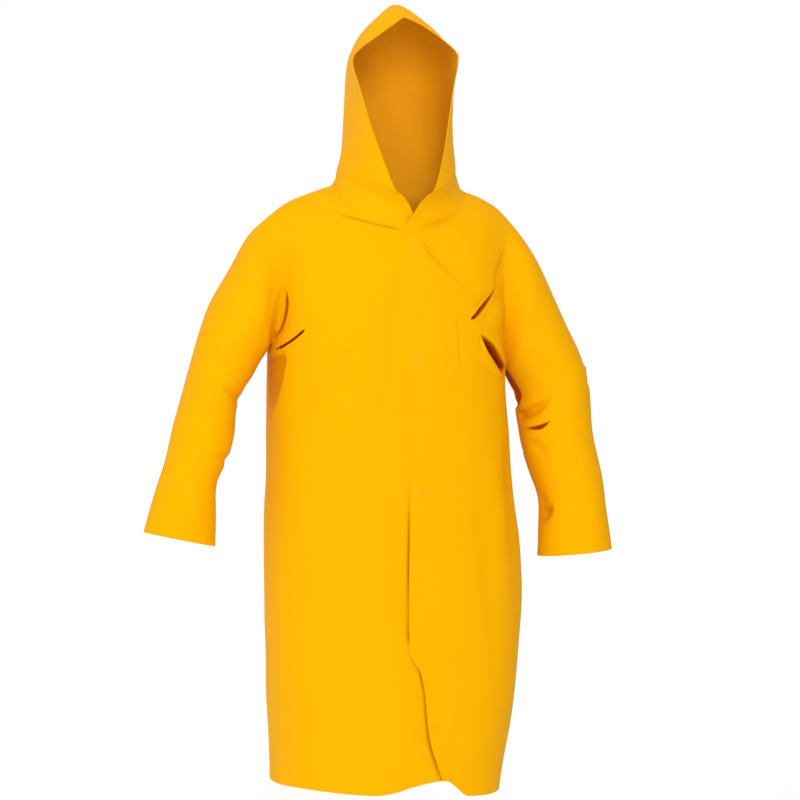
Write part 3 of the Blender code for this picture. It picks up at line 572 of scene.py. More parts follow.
def skin_y(x, z, face):
    """Depth of the body's outer skin at (x, z) on its front or back."""
    x, z = np.broadcast_arrays(np.asarray(x, float), np.asarray(z, float))
    square = SQUARE[face]
    reach = np.clip(np.abs(x - BODY_X) / half_width(x, z), 0.0, 1.0)
    crown = read(SECTIONS, face, z)
    section = between(SIDE_Y, crown, (1.0 - reach**square) ** (1.0 / square))
    drop = np.clip((shoulder_z(x) - z) / SHOULDER_ROUND, 0.0, 1.0)
    return between(RIDGE_Y, section, np.sqrt(1.0 - (1.0 - drop) ** 2))


def armhole_xz(side, rise):
    """(x, z) of the armhole seam at a rise of 0 (underarm) to 1 (shoulder tip)."""
    low_z = UNDERARM_Z[side]
    tip_x = BODY_X + side * SHOULDER_HALF
    low = float(half_width(tip_x, low_z))
    scoop = ARMHOLE_SCOOP * np.sin(math.pi * rise) ** SCOOP_POWER
    away = between(low, SHOULDER_HALF, read(ARMHOLE, "reach", rise)) - scoop
    return BODY_X + side * away, between(low_z, float(shoulder_z(tip_x)), rise)


def neck_z(x, face):
    """Height of the neck seam on the front or the back."""
    across = (np.asarray(x, dtype=float) - NECK_X) / NECK_HALF
    share = np.sqrt(np.clip(1.0 - across**2, 0.0, 1.0))
    right_z, left_z = shoulder_z([NECK_X - NECK_HALF, NECK_X + NECK_HALF])
    side_z = right_z + (left_z - right_z) * (across + 1.0) / 2.0
    return between(side_z, NECK_Z[face], share)


def even_neck_x(start_x, side, face, count):
    """x of points evenly spaced along the neck seam from start_x to the shoulder."""
    start = math.asin(side * (start_x - NECK_X) / NECK_HALF)
    x = NECK_X + side * NECK_HALF * np.sin(np.linspace(start, math.pi / 2, NECK_SAMPLES))
    z = neck_z(x, face)
    points = np.stack([x, skin_y(x, z, face), z], axis=-1)
    lengths = np.linalg.norm(np.diff(points, axis=0), axis=1)
    run = np.concatenate([[0.0], np.cumsum(lengths)])
    return np.interp(np.linspace(0.0, run[-1], count + 1), run, x)


def hem_z(x, side, face):
    """Height of the hem, with the front's lower corners rounded."""
    level = HEM_Z - HEM_LEFT_FALL * smooth_step(x / HEM_TURN)
    level = level + HEM_RIGHT_RISE * smooth_step(-x / HEM_TURN - HEM_RIGHT_START)
    if face == "back":
        return level
    if side > 0:
        share = (x - FRONT_EDGES[0].lap) / LEFT_CORNER
    else:
        share = (FRONT_EDGES[0].under - x) / RIGHT_CORNER
    return level + HEM_CORNER_RISE * (1.0 - smooth_step(share))


def yoke_rises(count):
    """Rises of the rows above the underarm, closer together at both ends."""
    level = np.linspace(0.0, 1.0, count + 1)
    return 0.5 * level + 0.25 * (1.0 - np.cos(math.pi * level))


def skirt_levels(count):
    """Levels from hem (0) to underarm (1), close together in the hem and the underarm."""
    low = np.linspace(0.0, HEM_SHARE, HEM_ROWS + 1)
    high = np.linspace(0.0, 1.0, count - HEM_ROWS + 1)[1:]
    high = HEM_SHARE + (1.0 - HEM_SHARE) * (1.0 - (1.0 - high) ** SKIRT_CROWDING)
    return np.concatenate([low, high])


def half_panel(side, face, grid):
    """Outer skin of one half of the body: rows from hem to top, columns from the
    centre line or free edge out to the side seam and armhole."""
    square = SQUARE[face]
    edge_name = "lap" if side > 0 else "under"
    low_z = UNDERARM_Z[side]
    inner = np.linspace(0.0, NECK_SHARE, grid.neck + 1)
    share = np.concatenate([inner, np.linspace(NECK_SHARE, 1.0, grid.shoulder + 1)[1:]])

    def edge_x(z):
        """Free edge of a front, or the centre line of the back, at the heights z."""
        return read(FRONT_EDGES, edge_name, z) if face == "front" else np.full_like(z, BODY_X)

    def row_x(z):
        """Columns of a full section at the heights z."""
        wide = half_width(BODY_X + side * SHOULDER_HALF, z)
        start = np.arcsin(signed_power(side * (edge_x(z) - BODY_X) / wide, square / 2.0))
        turn = start[:, None] + (math.pi / 2 - start[:, None]) * share[None, :]
        return BODY_X + side * wide[:, None] * signed_power(np.sin(turn), 2.0 / square)

    # hem to underarm
    level = skirt_levels(grid.skirt)
    skirt_x = row_x(between(HEM_Z, low_z, level))
    foot_z = hem_z(skirt_x[0], side, face)
    head_z = underarm_z(skirt_x[-1])
    head_z[-1] = low_z
    skirt_z = foot_z[None, :] + (head_z - foot_z)[None, :] * level[:, None]
    skirt_x = np.stack([row_x(z)[:, c] for c, z in enumerate(skirt_z.T)], axis=1)

    # underarm to neck and shoulder
    rises = yoke_rises(grid.yoke)[:, None]
    arm_x, _ = armhole_xz(side, rises)
    neck_x = even_neck_x(edge_x(np.zeros(1))[0], side, face, grid.neck)
    shoulder_x = np.linspace(NECK_X + side * NECK_HALF, arm_x[-1, 0], grid.shoulder + 1)[1:]
    top_x = np.concatenate([neck_x, shoulder_x])
    top_z = np.concatenate([neck_z(neck_x, face), shoulder_z(shoulder_x)])
    low_x = skirt_x[-1]
    low_share = (low_x - low_x[0]) / (low_x[-1] - low_x[0])
    top_share = (top_x - top_x[0]) / (top_x[-1] - top_x[0])
    start_x = between(low_x[0], top_x[0], rises)
    yoke_x = between(start_x, arm_x, low_share * (1.0 - rises) + top_share * rises)
    yoke_z = between(skirt_z[-1], top_z, rises)

    x = np.concatenate([skirt_x, yoke_x[1:]])
    z = np.concatenate([skirt_z, yoke_z[1:]])
    y = skin_y(x, z, face)
    y[-1, grid.neck + 1:] = RIDGE_Y
    y[:grid.skirt + 1, -1] = SIDE_Y
    return np.stack([x, y, z], axis=-1)


# ---- lap
def lap_value(name, points):
    """A column of the free front edges at the heights of points."""
    return read(FRONT_EDGES, name, points[..., 2])


def past_lap(points):
    """How far each point lies to the wearer's left of the left front's edge."""
    return points[..., 0] - lap_value("lap", points)


def edge_taper(away, height, cloth):
    """Thickness of the left front at a distance from its edge; its upper part is
    pressed thin, so that it hardly shows on the front below it."""
    upper = smooth_step((height - EDGE_PRESS_Z) / EDGE_PRESS_BLEND)
    return cloth * (1.0 - EDGE_PRESS * upper * np.exp(-np.abs(away) / EDGE_PRESS_WIDTH))


def lap_drop(points, cloth):
    """How far the right front lies below the body's outer skin under the left one."""
    away = past_lap(points)
    under = edge_taper(np.maximum(away, 0.0), points[..., 2], cloth) + LAP_CLEARANCE
    drop = under * smooth_step(away / LAP_BLEND + 1.0)
    reach = np.where(away > 0.0, SINK_UNDER, SINK_BESIDE)
    return drop + lap_value("sink", points) * np.exp(-(away / reach) ** 2)


def lap_shade(points):
    """How much shade is painted on the right front beside the lap's edge, where little light
    reaches.
    """
    return lap_value("shut", points) * np.exp(-(past_lap(points) / LAP_SHADE_WIDTH) ** 2)


def lap_lift(points):
    """How far the left front's edge stands off."""
    away = np.maximum(past_lap(points), 0.0)
    return lap_value("lift", points) * np.exp(-away / LAP_LIFT_WIDTH)


# ---- sleeves
def armhole_ring(side, front, back):
    """The armhole seam: from the shoulder tip over the front to the underarm and up
    the back."""
    down = front[FRONT.skirt:, -1 if side > 0 else 0][::-1]
    up = back[BACK.skirt:, 0 if side > 0 else -1]
    return np.concatenate([down, up[1:-1]])


def sleeve_skin(side, rows, first):
    """Outer skin of a sleeve: rows from armhole to cuff, columns round it."""
    turn = np.concatenate([np.linspace(0.0, math.pi, FRONT.yoke + 1),
                           np.linspace(math.pi, math.tau, BACK.yoke + 1)[1:-1]])
    rings = [first]
    for row in rows:
        outer = np.array([row.outer_x, row.y, row.outer_z])
        inner = np.array([row.inner_x, row.y, row.inner_z])
        forward = np.array([0.0, -row.depth, 0.0])
        rings.append((outer + inner) / 2.0 + np.cos(turn)[:, None] * (outer - inner) / 2.0
                     + np.sin(turn)[:, None] * forward)
    last = len(rows)
    pace = np.interp(np.linspace(0.0, 1.0, SLEEVE_ROWS + 1), PACE_SHARES, PACE_RINGS)
    main = pace * (last - CUFF_RINGS) / PACE_RINGS[-1]
    cuff = np.linspace(last - CUFF_RINGS, last, CUFF_ROWS + 1)
    skin = smooth_read(np.arange(last + 1), rings, np.concatenate([main, cuff[1:]]))
    return skin if side > 0 else skin[:, ::-1]


# ---- hood
def hood_row(row, side):
    """One row of a hood half, from the face edge round the side to the centre back."""
    flare = row.flare if side < 0 else 0.0
    front = np.array([row.front_x + flare, row.front_y, row.front_z])
    flank = np.array([row.side_x, row.side_y, row.side_z])
    back = np.array([0.0, row.back_y, row.back_z])
    reach = flank[1] - front[1]
    depth = back[1] - flank[1]
    toward = np.array([flank[0] - front[0], row.rake * reach, FACE_RISE * (flank[2] - front[2])])
    first = bezier(front, front + FACE_PULL * toward,
                   flank - np.array([0.0, SIDE_PULL * reach, 0.0]), flank, FRONT.neck)
    second = bezier(flank, flank + np.array([0.0, BACK_PULL * depth, 0.0]),
                    back + np.array([BACK_PULL * flank[0], 0.0, 0.0]), back, BACK.neck)
    points = np.concatenate([first, second[1:]])
    points[:, 0] = side * points[:, 0] + row.lean
    points[:, 2] -= row.tilt * points[:, 0]
    return points


def neck_edge(side, front, back):
    """The neck seam from the free edge at the centre front to the centre back."""
    middle = BACK.neck + BACK.shoulder
    if side > 0:
        return np.concatenate([front[-1, :FRONT.neck + 1], back[-1, BACK.shoulder + 1:middle + 1]])
    return np.concatenate([front[-1, ::-1][:FRONT.neck + 1],
                           back[-1, middle:middle + BACK.neck][::-1]])


def hood_skin(side, seam):
    """Outer skin of a hood half: rows from neck to crown."""
    rows = [seam] + [hood_row(row, side) for row in HOOD]
    places = np.linspace(0.0, len(rows) - 1.0, HOOD_ROWS + 1)
    skin = smooth_read(np.arange(len(rows)), rows, places)
    if side > 0:
        return skin
    above = skin[1:]
    tucked = smooth_step((HOOD_JOIN_Z + HOOD_TUCK_OVER - above[..., 2]) / HOOD_TUCK_BLEND)
    near = smooth_step((above[..., 0] - HOOD[0].lean) / LAP_BLEND + 1.0)
    above[..., 1] += HOOD_TUCK * tucked * near
    return skin[:, ::-1]


# ---- one web of cloth
Sizes = namedtuple("Sizes", "cloth hem cuff face_hem seam_dip weld")
# folded holds how much shade is painted on each point: deep in closed folds and in the lap's gap
Web = namedtuple("Web", "points normals faces numbers folded")
Border = namedtuple("Border", "name reach dip")
CLOSED = ("sleeve_left", "sleeve_right")


def plain_skins(cloth):
    """Outer skin of every piece before it is eased and creased.  Columns run so that
    across x up points out of the cloth."""
    left = half_panel(+1, "front", FRONT)
    right = half_panel(-1, "front", FRONT)[:, ::-1]
    right = right - grid_normals(right) * lap_drop(right, cloth)[..., None]
    back = np.concatenate([half_panel(+1, "back", BACK)[:, ::-1],
                           half_panel(-1, "back", BACK)[:, 1:]], axis=1)
    return {
        "front_left": left,
        "front_right": right,
        "back": back,
        "sleeve_left": sleeve_skin(+1, SLEEVE_LEFT, armhole_ring(+1, left, back)),
        "sleeve_right": sleeve_skin(-1, SLEEVE_RIGHT, armhole_ring(-1, right, back)),
        "hood_left": hood_skin(+1, neck_edge(+1, left, back)),
        "hood_right": hood_skin(-1, neck_edge(-1, right, back)),
    }


def unit(vectors, least):
    """Vectors of length 1, apart from those shorter than least."""
    return vectors / np.maximum(np.linalg.norm(vectors, axis=-1, keepdims=True), least)


def grid_normals(skin):
    """Normals of a grid of points."""
    return unit(np.cross(np.gradient(skin, axis=1), np.gradient(skin, axis=0)), 1e-12)


def quads(numbers, closed):
    """Faces of a grid of vertex numbers; closed joins its last column to its first."""
    right = np.roll(numbers, -1, axis=1)
    if not closed:
        numbers, right = numbers[:, :-1], right[:, :-1]
    corners = [numbers[:-1], right[:-1], right[1:], numbers[1:]]
    return np.stack(corners, axis=-1).reshape(-1, 4)


def gather(places, values, count):
    """Sum of the values that fall on each place."""
    return np.stack([np.bincount(places, values[:, axis], count) for axis in range(3)], axis=-1)


def web_normals(points, faces):
    """Vertex normals of the whole web."""
    out = np.cross(points[faces[:, 2]] - points[faces[:, 0]],
                   points[faces[:, 3]] - points[faces[:, 1]])
    return unit(gather(faces.ravel(), np.repeat(out, 4, axis=0), len(points)), 1e-15)


def run_from(skin, border):
    """Distance over the cloth from one border of its grid to every point."""
    axis = 0 if border.endswith("row") else 1
    steps = np.linalg.norm(np.diff(skin, axis=axis), axis=-1)
    pad = [(1, 0), (0, 0)] if axis == 0 else [(0, 0), (1, 0)]
    run = np.pad(np.cumsum(steps, axis=axis), pad)
    return run.take([-1], axis=axis) - run if border.startswith("last") else run


def armhole_reach(rise):
    """How far the armhole seam is eased in, at a rise from the underarm."""
    return between(UNDERARM_REACH, ARMHOLE_REACH, smooth_step(rise / UNDERARM_RISE))


def neck_border(name, aside):
    """A border that is the neck seam in its middle and passes into the shoulder seam."""
    aside = smooth_step((aside - NECK_CLEAR) / (1.0 - NECK_CLEAR))
    return Border(name, between(NECK_REACH, SHOULDER_REACH, aside),
                  between(NECK_DIP, SHOULDER_DIP, aside))


def panel_borders(grid, side):
    """Seams of a front or of one half of the back: how far each is eased into its
    neighbour and how deep it dips."""
    rows = np.arange(grid.skirt + grid.yoke + 1)[:, None]
    above = (rows - grid.skirt) / grid.yoke
    outer = Border("last_column" if side > 0 else "first_column",
                   np.where(above < 0.0, SIDE_REACH, armhole_reach(above)),
                   np.where(above < 0.0, PLAIN_DIP, ARMHOLE_DIP))
    columns = np.arange(grid.neck + grid.shoulder + 1)[None, ::side]
    return outer, neck_border("last_row", columns / grid.neck)


def borders_of(name):
    """Seams of a piece."""
    if name.startswith("front"):
        return panel_borders(FRONT, +1 if name == "front_left" else -1)
    if name == "back":
        outer, top = panel_borders(BACK, +1)
        reach, dip = (np.concatenate([part[:, ::-1], part[:, 1:]], axis=1)
                      for part in (top.reach, top.dip))
        return outer, outer._replace(name="first_column"), Border("last_row", reach, dip)
    if name in CLOSED:
        rise = np.concatenate([np.linspace(1.0, 0.0, FRONT.yoke + 1),
                               np.linspace(0.0, 1.0, BACK.yoke + 1)[1:-1]])[None, :]
        if name == "sleeve_right":
            rise = rise[:, ::-1]
        return (Border("first_row", armhole_reach(rise), ARMHOLE_DIP),)
    aside = np.concatenate([np.linspace(0.0, 1.0, FRONT.neck + 1),
                            np.linspace(1.0, 0.0, BACK.neck + 1)[1:]])[None, :]
    centre = "last_column"
    if name == "hood_right":
        aside, centre = aside[:, ::-1], "first_column"
    return (neck_border("first_row", aside), Border("last_row", CROWN_REACH, PLAIN_DIP),
            Border(centre, CENTRE_REACH, PLAIN_DIP))


def hem_of(name, sizes):
    """The free border that a piece's hem is turned back from, and the hem's depth."""
    if name in CLOSED:
        return "last_row", sizes.cuff
    if name.startswith("hood"):
        return "first_column" if name == "hood_left" else "last_column", sizes.face_hem
    return "first_row", sizes.hem


def free_mask(name, shape):
    """1 on every point of a piece, 0 on its free borders."""
    mask = np.ones(shape)
    if not name.startswith("hood"):
        mask[-1 if name in CLOSED else 0] = 0.0
    if name in ("front_left", "hood_left"):
        mask[:, 0] = 0.0
    if name in ("front_right", "hood_right"):
        mask[:, -1] = 0.0
    return mask


def weave(skins):
    """Weld the pieces' grids along their seams into one web."""
    points = np.concatenate([skin.reshape(-1, 3) for skin in skins.values()])
    cells = np.round(points * WELD_CELLS).astype(np.int64)
    _, first, inverse = np.unique(cells, axis=0, return_index=True, return_inverse=True)
    inverse = inverse.ravel()
    numbers = {}
    start = 0
    for name, skin in skins.items():
        count = skin.shape[0] * skin.shape[1]
        numbers[name] = inverse[start:start + count].reshape(skin.shape[:2])
        start += count
    faces = np.concatenate([quads(grid, name in CLOSED) for name, grid in numbers.items()])
    return points[first], faces, numbers


def on_web(numbers, fields, count, join):
    """Bring the pieces' fields together on the web's vertices: join is the ufunc that
    settles what a seam takes from its two pieces."""
    total = np.full(count, np.inf if join is np.minimum else -np.inf)
    for name, field in fields.items():
        join.at(total, numbers[name].ravel(), np.broadcast_to(field, numbers[name].shape).ravel())
    return total


def ease(points, faces, strength):
    """Even out the web along its normals, each vertex by its own strength."""
    count = len(points)
    corners = faces.ravel()
    before, after = np.roll(faces, 1, axis=1).ravel(), np.roll(faces, -1, axis=1).ravel()
    shares = 2.0 * np.maximum(np.bincount(corners, minlength=count), 1)[:, None]
    for turn in range(EASING_ROUNDS):
        if turn % EASING_NORMALS == 0:
            normals = web_normals(points, faces)
        middle = gather(corners, points[before] + points[after], count) / shares
        step = np.sum((middle - points) * normals, axis=-1)
        points = points + (EASING_STEP * strength * step)[:, None] * normals
    return points


def one_crease(crease, points, normals):
    """How far one crease presses the web in, and how much shade is painted on it there."""
    axis, toward = VIEWS[crease.view]
    run = np.array([crease.a1 - crease.a0, crease.z1 - crease.z0])
    reach = float(np.hypot(*run))
    away = points[:, [axis, 2]] - np.array([crease.a0, crease.z0])
    along = away @ run / reach**2
    beside = (away[:, 1] * run[0] - away[:, 0] * run[1]) / reach
    # a parabola that swings out by bow halfway along
    beside = beside - crease.bow * 4.0 * along * (1.0 - along)
    fade = smooth_step(along / crease.rise) * smooth_step((1.0 - along) / crease.fall)
    width = np.where(beside > 0.0, crease.more, crease.less)
    across = np.abs(beside) / (width * (END_WIDTH + (1.0 - END_WIDTH) * fade))
    power = SOFT_POWER + SHARP_POWER * crease.sharp
    hollow = np.exp(-across ** power)
    lip = LIP_HEIGHT * crease.sharp * np.exp(-((across - LIP_PLACE) / LIP_WIDTH) ** 2)
    shown = fade * smooth_step(normals @ np.array(toward) * 2.0 + 0.5)
    # painted shade: how closed the crease's middle is, and so how dark its colour is painted
    closed = np.clip(FOLD_SHADE_GAIN * shown * np.exp(-(across / FOLD_SHADE_WIDTH) ** power), 0.0, 1.0)
    closed = closed * smooth_step((crease.sharp - FOLD_SHADE_FROM) / FOLD_SHADE_OVER)
    return crease.depth * shown * (hollow - lip), closed


def slack_depth(points):
    """The slow rise and fall of slack cloth."""
    depth = np.zeros(points.shape[:-1])
    for wave in SLACK:
        turn = math.tau * (points @ np.array([wave.x, wave.y, wave.z])) + wave.phase
        depth += wave.height * np.sin(turn)
    return depth


def stud_nodes():
    """The press-stud caps in the frame."""
    return [node for node in sorted(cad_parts) if node.startswith("stud_")]


def stud_bump(points):
    """The cloth lifts over the socket of each press stud."""
    depth = np.zeros(points.shape[:-1])
    for node in stud_nodes():
        low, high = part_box(node)
        away = np.hypot(points[..., 0] - (low.x + high.x) / 2.0,
                        points[..., 2] - (low.z + high.z) / 2.0)
        depth -= STUD_SWELL * np.exp(-(away / STUD_SWELL_WIDTH) ** 2)
    return depth


def piece_marks(name, skin, sizes):
    """Seams, hem and lap of one piece, as a depth at each of its points."""
    depth = np.zeros(skin.shape[:2])
    for border in borders_of(name):
        run = run_from(skin, border.name)
        depth = depth + border.dip * sizes.seam_dip * np.exp(-run / DIP_WIDTH)
        band = 1.0 - smooth_step((run - sizes.weld) / WELD_BLEND)
        depth = depth - border.dip * WELD_PRESS * band
    border, turned = hem_of(name, sizes)
    run = run_from(skin, border)
    depth += HEM_GROOVE * np.exp(-((run - turned) / HEM_GROOVE_WIDTH) ** 2)
    if name == "front_left":
        depth += stud_bump(skin) - lap_lift(skin)
    return depth


@lru_cache(maxsize=None)
def finished_web(sizes):
    """The whole coat's outer skin, eased over its seams and creased, with the shade that is
    painted in its closed folds and in the lap's gap.
    """
    skins = plain_skins(sizes.cloth)
    points, faces, numbers = weave(skins)
    count = len(points)
    strength = {}
    for name, skin in skins.items():
        near = np.full(skin.shape[:2], BASE_EASING)
        for border in borders_of(name):
            run = run_from(skin, border.name)
            near = np.maximum(near, np.exp(-(run / border.reach) ** 2))
        strength[name] = near * free_mask(name, skin.shape[:2])
    points = ease(points, faces, on_web(numbers, strength, count, np.minimum))
    normals = web_normals(points, faces)
    marks = {name: piece_marks(name, points[grid], sizes) for name, grid in numbers.items()}
    depth = on_web(numbers, marks, count, np.maximum)
    depth += slack_depth(points)
    # painted shade: in the gap beside the lap's edge, then in the middle of sharp creases
    folded = np.zeros(count)
    under = numbers["front_right"]
    folded[under] = lap_shade(points[under])
    for crease in CREASES:
        mask = np.zeros(count, dtype=bool)
        for name in crease.pieces.split():
            mask[numbers[name]] = True
        press, closed = one_crease(crease, points[mask], normals[mask])
        depth[mask] += press
        folded[mask] = np.maximum(folded[mask], closed)
    points = points - normals * depth[:, None]
    return Web(points, web_normals(points, faces), faces, numbers, folded)


def sizes_now():
    """The user's sizes as plain numbers."""
    settings = bpy.context.scene.coat_sizes
    return Sizes(*(round(getattr(settings, name), 6) for name in Sizes._fields))


def skin_of(name):
    """Finished outer skin of a piece, its normals, and how much shade is painted on it, where its
    folds are closed.
    """
    web = finished_web(sizes_now())
    grid = web.numbers[name]
    return web.points[grid], web.normals[grid], web.folded[grid]


# ---- pieces
def add_piece(name, data, sharp, node):
    """Put a finished mesh in the scene in place of a node of the frame."""
    data.shade_smooth()
    data.set_sharp_from_angle(angle=math.radians(sharp))
    piece = bpy.data.objects.new(name, data)
    bpy.context.scene.collection.objects.link(piece)
    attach(piece, BODY)
    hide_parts(node)
    return piece


def thickness_of(name, skin, sizes):
    """Thickness of a piece: two layers in its hem, pressed thin at the lap's edge."""
    border, turned = hem_of(name, sizes)
    beyond = smooth_step((run_from(skin, border) - turned) / HEM_STEP + 0.5)
    second = HEM_PRESS * sizes.cloth * (1.0 - beyond)
    if name == "front_left":
        return edge_taper(past_lap(skin), skin[..., 2], sizes.cloth) + second
    return sizes.cloth + second


def strip(first, second, count):
    """Faces from a border of the outer skin to the same border of the inner one."""
    return np.stack([second, first, first + count, second + count], axis=-1)


def make_cloth(name):
    """One cut piece: a closed shell between its outer skin and an inner one."""
    sizes = sizes_now()
    outer, normals, folded = skin_of(name)
    inner = outer - normals * thickness_of(name, outer, sizes)[..., None]
    whole = np.arange(folded.size).reshape(folded.shape)
    count = whole.size
    closed = name in CLOSED
    front = quads(whole, closed)
    left, right = whole, np.roll(whole, -1, axis=1)
    if not closed:
        left, right = left[:, :-1], right[:, :-1]
    rims = [strip(left[0], right[0], count), strip(right[-1], left[-1], count)]
    if not closed:
        rims.append(strip(whole[1:, 0], whole[:-1, 0], count))
        rims.append(strip(whole[:-1, -1], whole[1:, -1], count))
    faces = np.concatenate([front, front[:, ::-1] + count] + rims)
    data = bpy.data.meshes.new(f"{name}_shell")
    data.from_pydata(np.concatenate([outer, inner]).reshape(-1, 3).tolist(), [], faces.tolist())
    for material in cloth_materials(bpy.context.scene.coat_finish):
        data.materials.append(material)
    slots = np.zeros(len(faces), dtype=np.int32)
    slots[len(front):2 * len(front)] = 1
    data.polygons.foreach_set("material_index", slots)
    # painted shade of closed folds and of the lap's gap, on the outer skin only
    shade = data.attributes.new(FOLD_SHADE_FIELD, "FLOAT", "POINT")
    shade.data.foreach_set("value", np.concatenate([folded.ravel(), np.zeros(count)]))
    data.update()
    piece = add_piece(f"{name}_shell", data, SHARP_ANGLE, name)


def on_skin(skin, x, z):
    """Point of a front's skin at (x, z), read between its own points."""
    rows_z = [np.interp(x, row[:, 0], row[:, 2]) for row in skin]
    rows_y = [np.interp(x, row[:, 0], row[:, 1]) for row in skin]
    return Vector((x, float(np.interp(z, rows_z, rows_y)), z))


def make_stud(node, skin, radius, material):
    """One moulded cap, square to the cloth that carries it."""
    low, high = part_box(node)
    middle = (low + high) / 2.0
    here = on_skin(skin, middle.x, middle.z)
    across = on_skin(skin, middle.x + radius, middle.z) - here
    up = on_skin(skin, middle.x, middle.z + radius) - here
    out = across.cross(up).normalized()
    across = across.normalized()
    up = out.cross(across)
    places = []
    for ring in STUD_PROFILE:
        for number in range(STUD_SIDES):
            angle = math.tau * number / STUD_SIDES
            place = math.cos(angle) * across + math.sin(angle) * up
            places.append(here + radius * (ring.radius * place + ring.height * out))
    whole = np.arange(len(places)).reshape(len(STUD_PROFILE), STUD_SIDES)
    faces = quads(whole, True).tolist() + [whole[0, ::-1].tolist(), whole[-1].tolist()]
    data = bpy.data.meshes.new(f"{node}_cap")
    data.from_pydata(places, [], faces)
    data.materials.append(material)
    add_piece(f"{node}_cap", data, STUD_SHARP_ANGLE, node)


# ---- materials
GLEAM_TINT = (1.0, 0.78, 0.25, 1.0)  # the coating and the caps tint what they reflect
LOOP_SCALE = 79.617834  # of the wave textures, whose crests then lie 4 mm apart
LOOP_SHADE = 0.94  # painted shade between the backing's loops: the brightness of its colour there


def set_node(tree, node, settings=None, links=None):
    """Set and link a node; a setting is a field or an input, by its name or number."""
    for key, value in (settings or {}).items():
        if isinstance(key, int) or key in node.inputs:
            node.inputs[key].default_value = value
        else:
            setattr(node, key, value)
    for key, source in (links or {}).items():
        tree.links.new(source, node.inputs[key])
    return node


def add_node(tree, kind, settings=None, links=None):
    """A new node with its settings and links."""
    return set_node(tree, tree.nodes.new(kind), settings, links)


def noise(tree, size, detail):
    """Noise whose lumps have a size in metres."""
    places = add_node(tree, "ShaderNodeTexCoord").outputs["Object"]
    return add_node(tree, "ShaderNodeTexNoise", {"Scale": 1 / size, "Detail": detail},
                    {"Vector": places}).outputs["Fac"]


def bump(tree, height, strength, distance, below=None):
    """A bump from a height, over another one that lies below it."""
    links = {"Height": height, "Normal": below} if below else {"Height": height}
    return add_node(tree, "ShaderNodeBump", {"Strength": strength, "Distance": distance},
                    links).outputs["Normal"]


def blend(tree, share, first, second):
    """A colour on the way from the first to the second."""
    return add_node(tree, "ShaderNodeMix",
                    {"data_type": "RGBA", 6: (*first, 1.0), 7: (*second, 1.0)},
                    {0: share}).outputs[2]


def new_material(name):
    """An empty material with its Principled shader, and the tree they stand in."""
    material = bpy.data.materials.new(name)
    material.use_nodes = True
    return material, material.node_tree, material.node_tree.nodes["Principled BSDF"]


def coated_cloth(name, finish):
    """Vinyl-coated cloth, calendered: the hot roller leaves a soft leathery grain, so
    the face has a broad, dull gleam and no mirror image."""
    material, tree, shader = new_material(name)
    # coating thickness drifts over about 150 mm
    yellow = blend(tree, noise(tree, 0.150, 2.0), finish.deep_yellow, finish.yellow)
    # painted shade: a fold that lies on itself lets hardly any light in, so the colour is darkened
    # toward the closed fold's colour where the field says so
    fold = add_node(tree, "ShaderNodeAttribute", {"attribute_name": FOLD_SHADE_FIELD})
    shade = add_node(tree, "ShaderNodeValToRGB", None, {"Fac": fold.outputs["Fac"]})
    stops = shade.color_ramp.elements
    stops[0].color = (1.0, 1.0, 1.0, 1.0)
    stops[1].color = (*finish.fold, 1.0)
    stops.new(0.5).color = (*[math.sqrt(v) for v in finish.fold], 1.0)
    shaded = add_node(tree, "ShaderNodeMix",
                      {"data_type": "RGBA", "blend_type": "MULTIPLY", 0: 1.0},
                      {6: yellow, 7: shade.outputs["Color"]})
    # roller grain, 1 mm on the real cloth, drawn at 2.5 mm so that it shows at all
    grain = noise(tree, 0.0025, 3.0)
    gleam = add_node(tree, "ShaderNodeMapRange",
                     {"From Min": 0.3, "From Max": 0.7, "To Min": 0.56, "To Max": 0.68},
                     {"Value": grain})
    fine = bump(tree, grain, 0.10, 0.0003)
    # soft rumples of the coating, 20 to 40 mm apart
    rumpled = bump(tree, noise(tree, 0.035, 2.0), 0.25, 0.0012, fine)
    set_node(tree, shader,
             {"IOR": 1.53, "Specular IOR Level": 0.04, "Specular Tint": GLEAM_TINT},
             {"Base Color": shaded.outputs[2], "Roughness": gleam.outputs["Result"],
              "Normal": rumpled})
    return material


def knitted_backing(name, finish):
    """Knitted polyester backing, dyed through to nearly the colour of the coated face:
    fine loops scatter the light, so it is matt."""
    material, tree, shader = new_material(name)
    places = add_node(tree, "ShaderNodeTexCoord").outputs["Object"]
    # loops 0.8 mm apart on the real backing, drawn at 4 mm so that they show
    loops = [add_node(tree, "ShaderNodeTexWave",
                      {"Scale": LOOP_SCALE, "Distortion": 0.6, "bands_direction": way},
                      {"Vector": places}) for way in ("X", "Z")]
    knit = add_node(tree, "ShaderNodeMath", {"operation": "MULTIPLY"},
                    {0: loops[0].outputs["Fac"], 1: loops[1].outputs["Fac"]}).outputs["Value"]
    # painted shade between the loops darkens the backing's colour
    set_node(tree, shader, {"Roughness": 0.85, "Specular IOR Level": 0.25},
             {"Base Color": blend(tree, knit, [LOOP_SHADE * v for v in finish.backing],
                                  finish.backing),
              "Normal": bump(tree, knit, 0.3, 0.0003)})
    return material


def moulded_cap(name, finish):
    """Acetal cap, injection moulded and dyed to the cloth: even colour, a soft shine."""
    material, tree, shader = new_material(name)
    # spark-eroded mould texture, 0.4 mm
    grit = noise(tree, 0.0004, 2.0)
    gleam = add_node(tree, "ShaderNodeMapRange", {"To Min": 0.34, "To Max": 0.44},
                     {"Value": grit})
    set_node(tree, shader,
             {"Base Color": (*finish.cap, 1.0), "IOR": 1.48, "Specular IOR Level": 0.25,
              "Specular Tint": GLEAM_TINT},
             {"Roughness": gleam.outputs["Result"], "Normal": bump(tree, grit, 0.08, 0.0002)})
    return material


